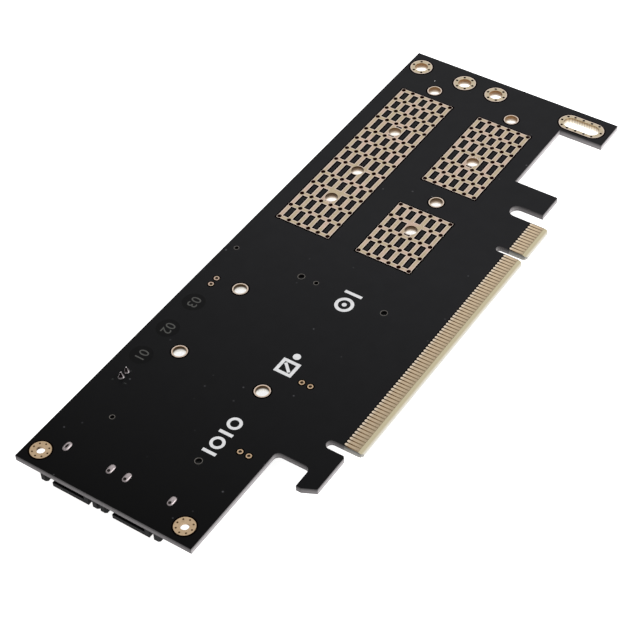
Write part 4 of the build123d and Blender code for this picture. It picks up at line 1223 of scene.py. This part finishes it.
class CARD_OT_studio(bpy.types.Operator):
    """Pale floor, soft lights and the camera"""

    bl_idname = "card.studio"
    bl_label = "Studio"

    def execute(self, context):
        setup = context.scene.card_studio
        scene = context.scene
        scene.view_settings.view_transform = "Standard"
        reach = 2.0
        sheet = rectangle((-reach, -reach), (reach, reach))
        mesh = bpy.data.meshes.new("floor")
        mesh.from_pydata(np.column_stack([sheet, np.full(4, FLOOR_LEVEL)]).tolist(), [], [(0, 1, 2, 3)])
        floor = bpy.data.objects.new("floor", mesh)
        scene.collection.objects.link(floor)
        paper = Finish("floor_paper").skin(
            Base_Color=opaque(setup.floor),
            Roughness=0.9,
            Emission_Color=WHITE,
            Emission_Strength=setup.floor_glow,
        )
        coat(mesh, paper)
        scene.world = bpy.data.worlds.new("room")
        scene.world.use_nodes = True
        room = scene.world.node_tree.nodes["Background"].inputs
        room["Color"].default_value = WHITE
        room["Strength"].default_value = setup.sky
        middle = (-0.02, 0.03, 0.0)
        self.add_light("key", (0.20, -0.60, 0.30), aim=middle, size=0.45, power=setup.key_power)
        self.add_light("fill", (0.42, 0.30, 0.50), aim=middle, size=0.6, power=setup.fill_power)
        data = bpy.data.cameras.new("camera")
        data.lens = setup.lens
        data.sensor_width = 36.0
        data.clip_start = 0.01
        camera = bpy.data.objects.new("camera", data)
        place = Vector(setup.camera_place)
        turn = (Vector(setup.camera_aim) - place).to_track_quat("-Z", "Y").to_matrix()
        turn = turn @ Matrix.Rotation(setup.camera_roll, 3, "Z")
        camera.matrix_world = Matrix.Translation(place) @ turn.to_4x4()
        scene.collection.objects.link(camera)
        scene.camera = camera
        return {"FINISHED"}

    @staticmethod
    def add_light(name, place, aim, size, power):
        """Adds a square area light that faces a point."""
        data = bpy.data.lights.new(name, "AREA")
        data.size = size
        data.energy = power
        light = bpy.data.objects.new(name, data)
        light.location = place
        light.rotation_euler = (Vector(aim) - Vector(place)).to_track_quat("-Z", "Y").to_euler()
        bpy.context.scene.collection.objects.link(light)


STEPS = (
    CARD_OT_board,
    CARD_OT_plating,
    CARD_OT_lips,
    CARD_OT_hole_shades,
    CARD_OT_windows,
    CARD_OT_ink,
    CARD_OT_tracks,
    CARD_OT_solder,
    CARD_OT_headers,
    CARD_OT_sockets,
    CARD_OT_small_parts,
    CARD_OT_studio,
)


class CARD_PT_panel(bpy.types.Panel):
    """Lists the card's settings and steps."""

    bl_label = "Adapter Card"
    bl_idname = "CARD_PT_panel"
    bl_space_type = "VIEW_3D"
    bl_region_type = "UI"
    bl_category = "Adapter Card"

    def draw(self, context):
        for group in (context.scene.card_finishes, context.scene.card_relief, context.scene.card_studio):
            box = self.layout.box()
            for name in group.__annotations__:
                box.prop(group, name)
        for step in STEPS:
            self.layout.operator(step.bl_idname)


GROUPS = {"card_finishes": CardFinishes, "card_relief": CardRelief, "card_studio": StudioSetup}


def register():
    """Registers the settings, the steps and the panel."""
    for name, group in GROUPS.items():
        bpy.utils.register_class(group)
        setattr(bpy.types.Scene, name, PointerProperty(type=group))
    for step in (*STEPS, CARD_PT_panel):
        bpy.utils.register_class(step)


def unregister():
    """Takes everything out again."""
    for step in (CARD_PT_panel, *reversed(STEPS)):
        bpy.utils.unregister_class(step)
    for name, group in GROUPS.items():
        delattr(bpy.types.Scene, name)
        bpy.utils.unregister_class(group)


def main():
    """Dresses the card step by step."""
    register()
    for step in STEPS:
        section, name = step.bl_idname.split(".")
        getattr(getattr(bpy.ops, section), name)()


if __name__ == "__main__":
    main()
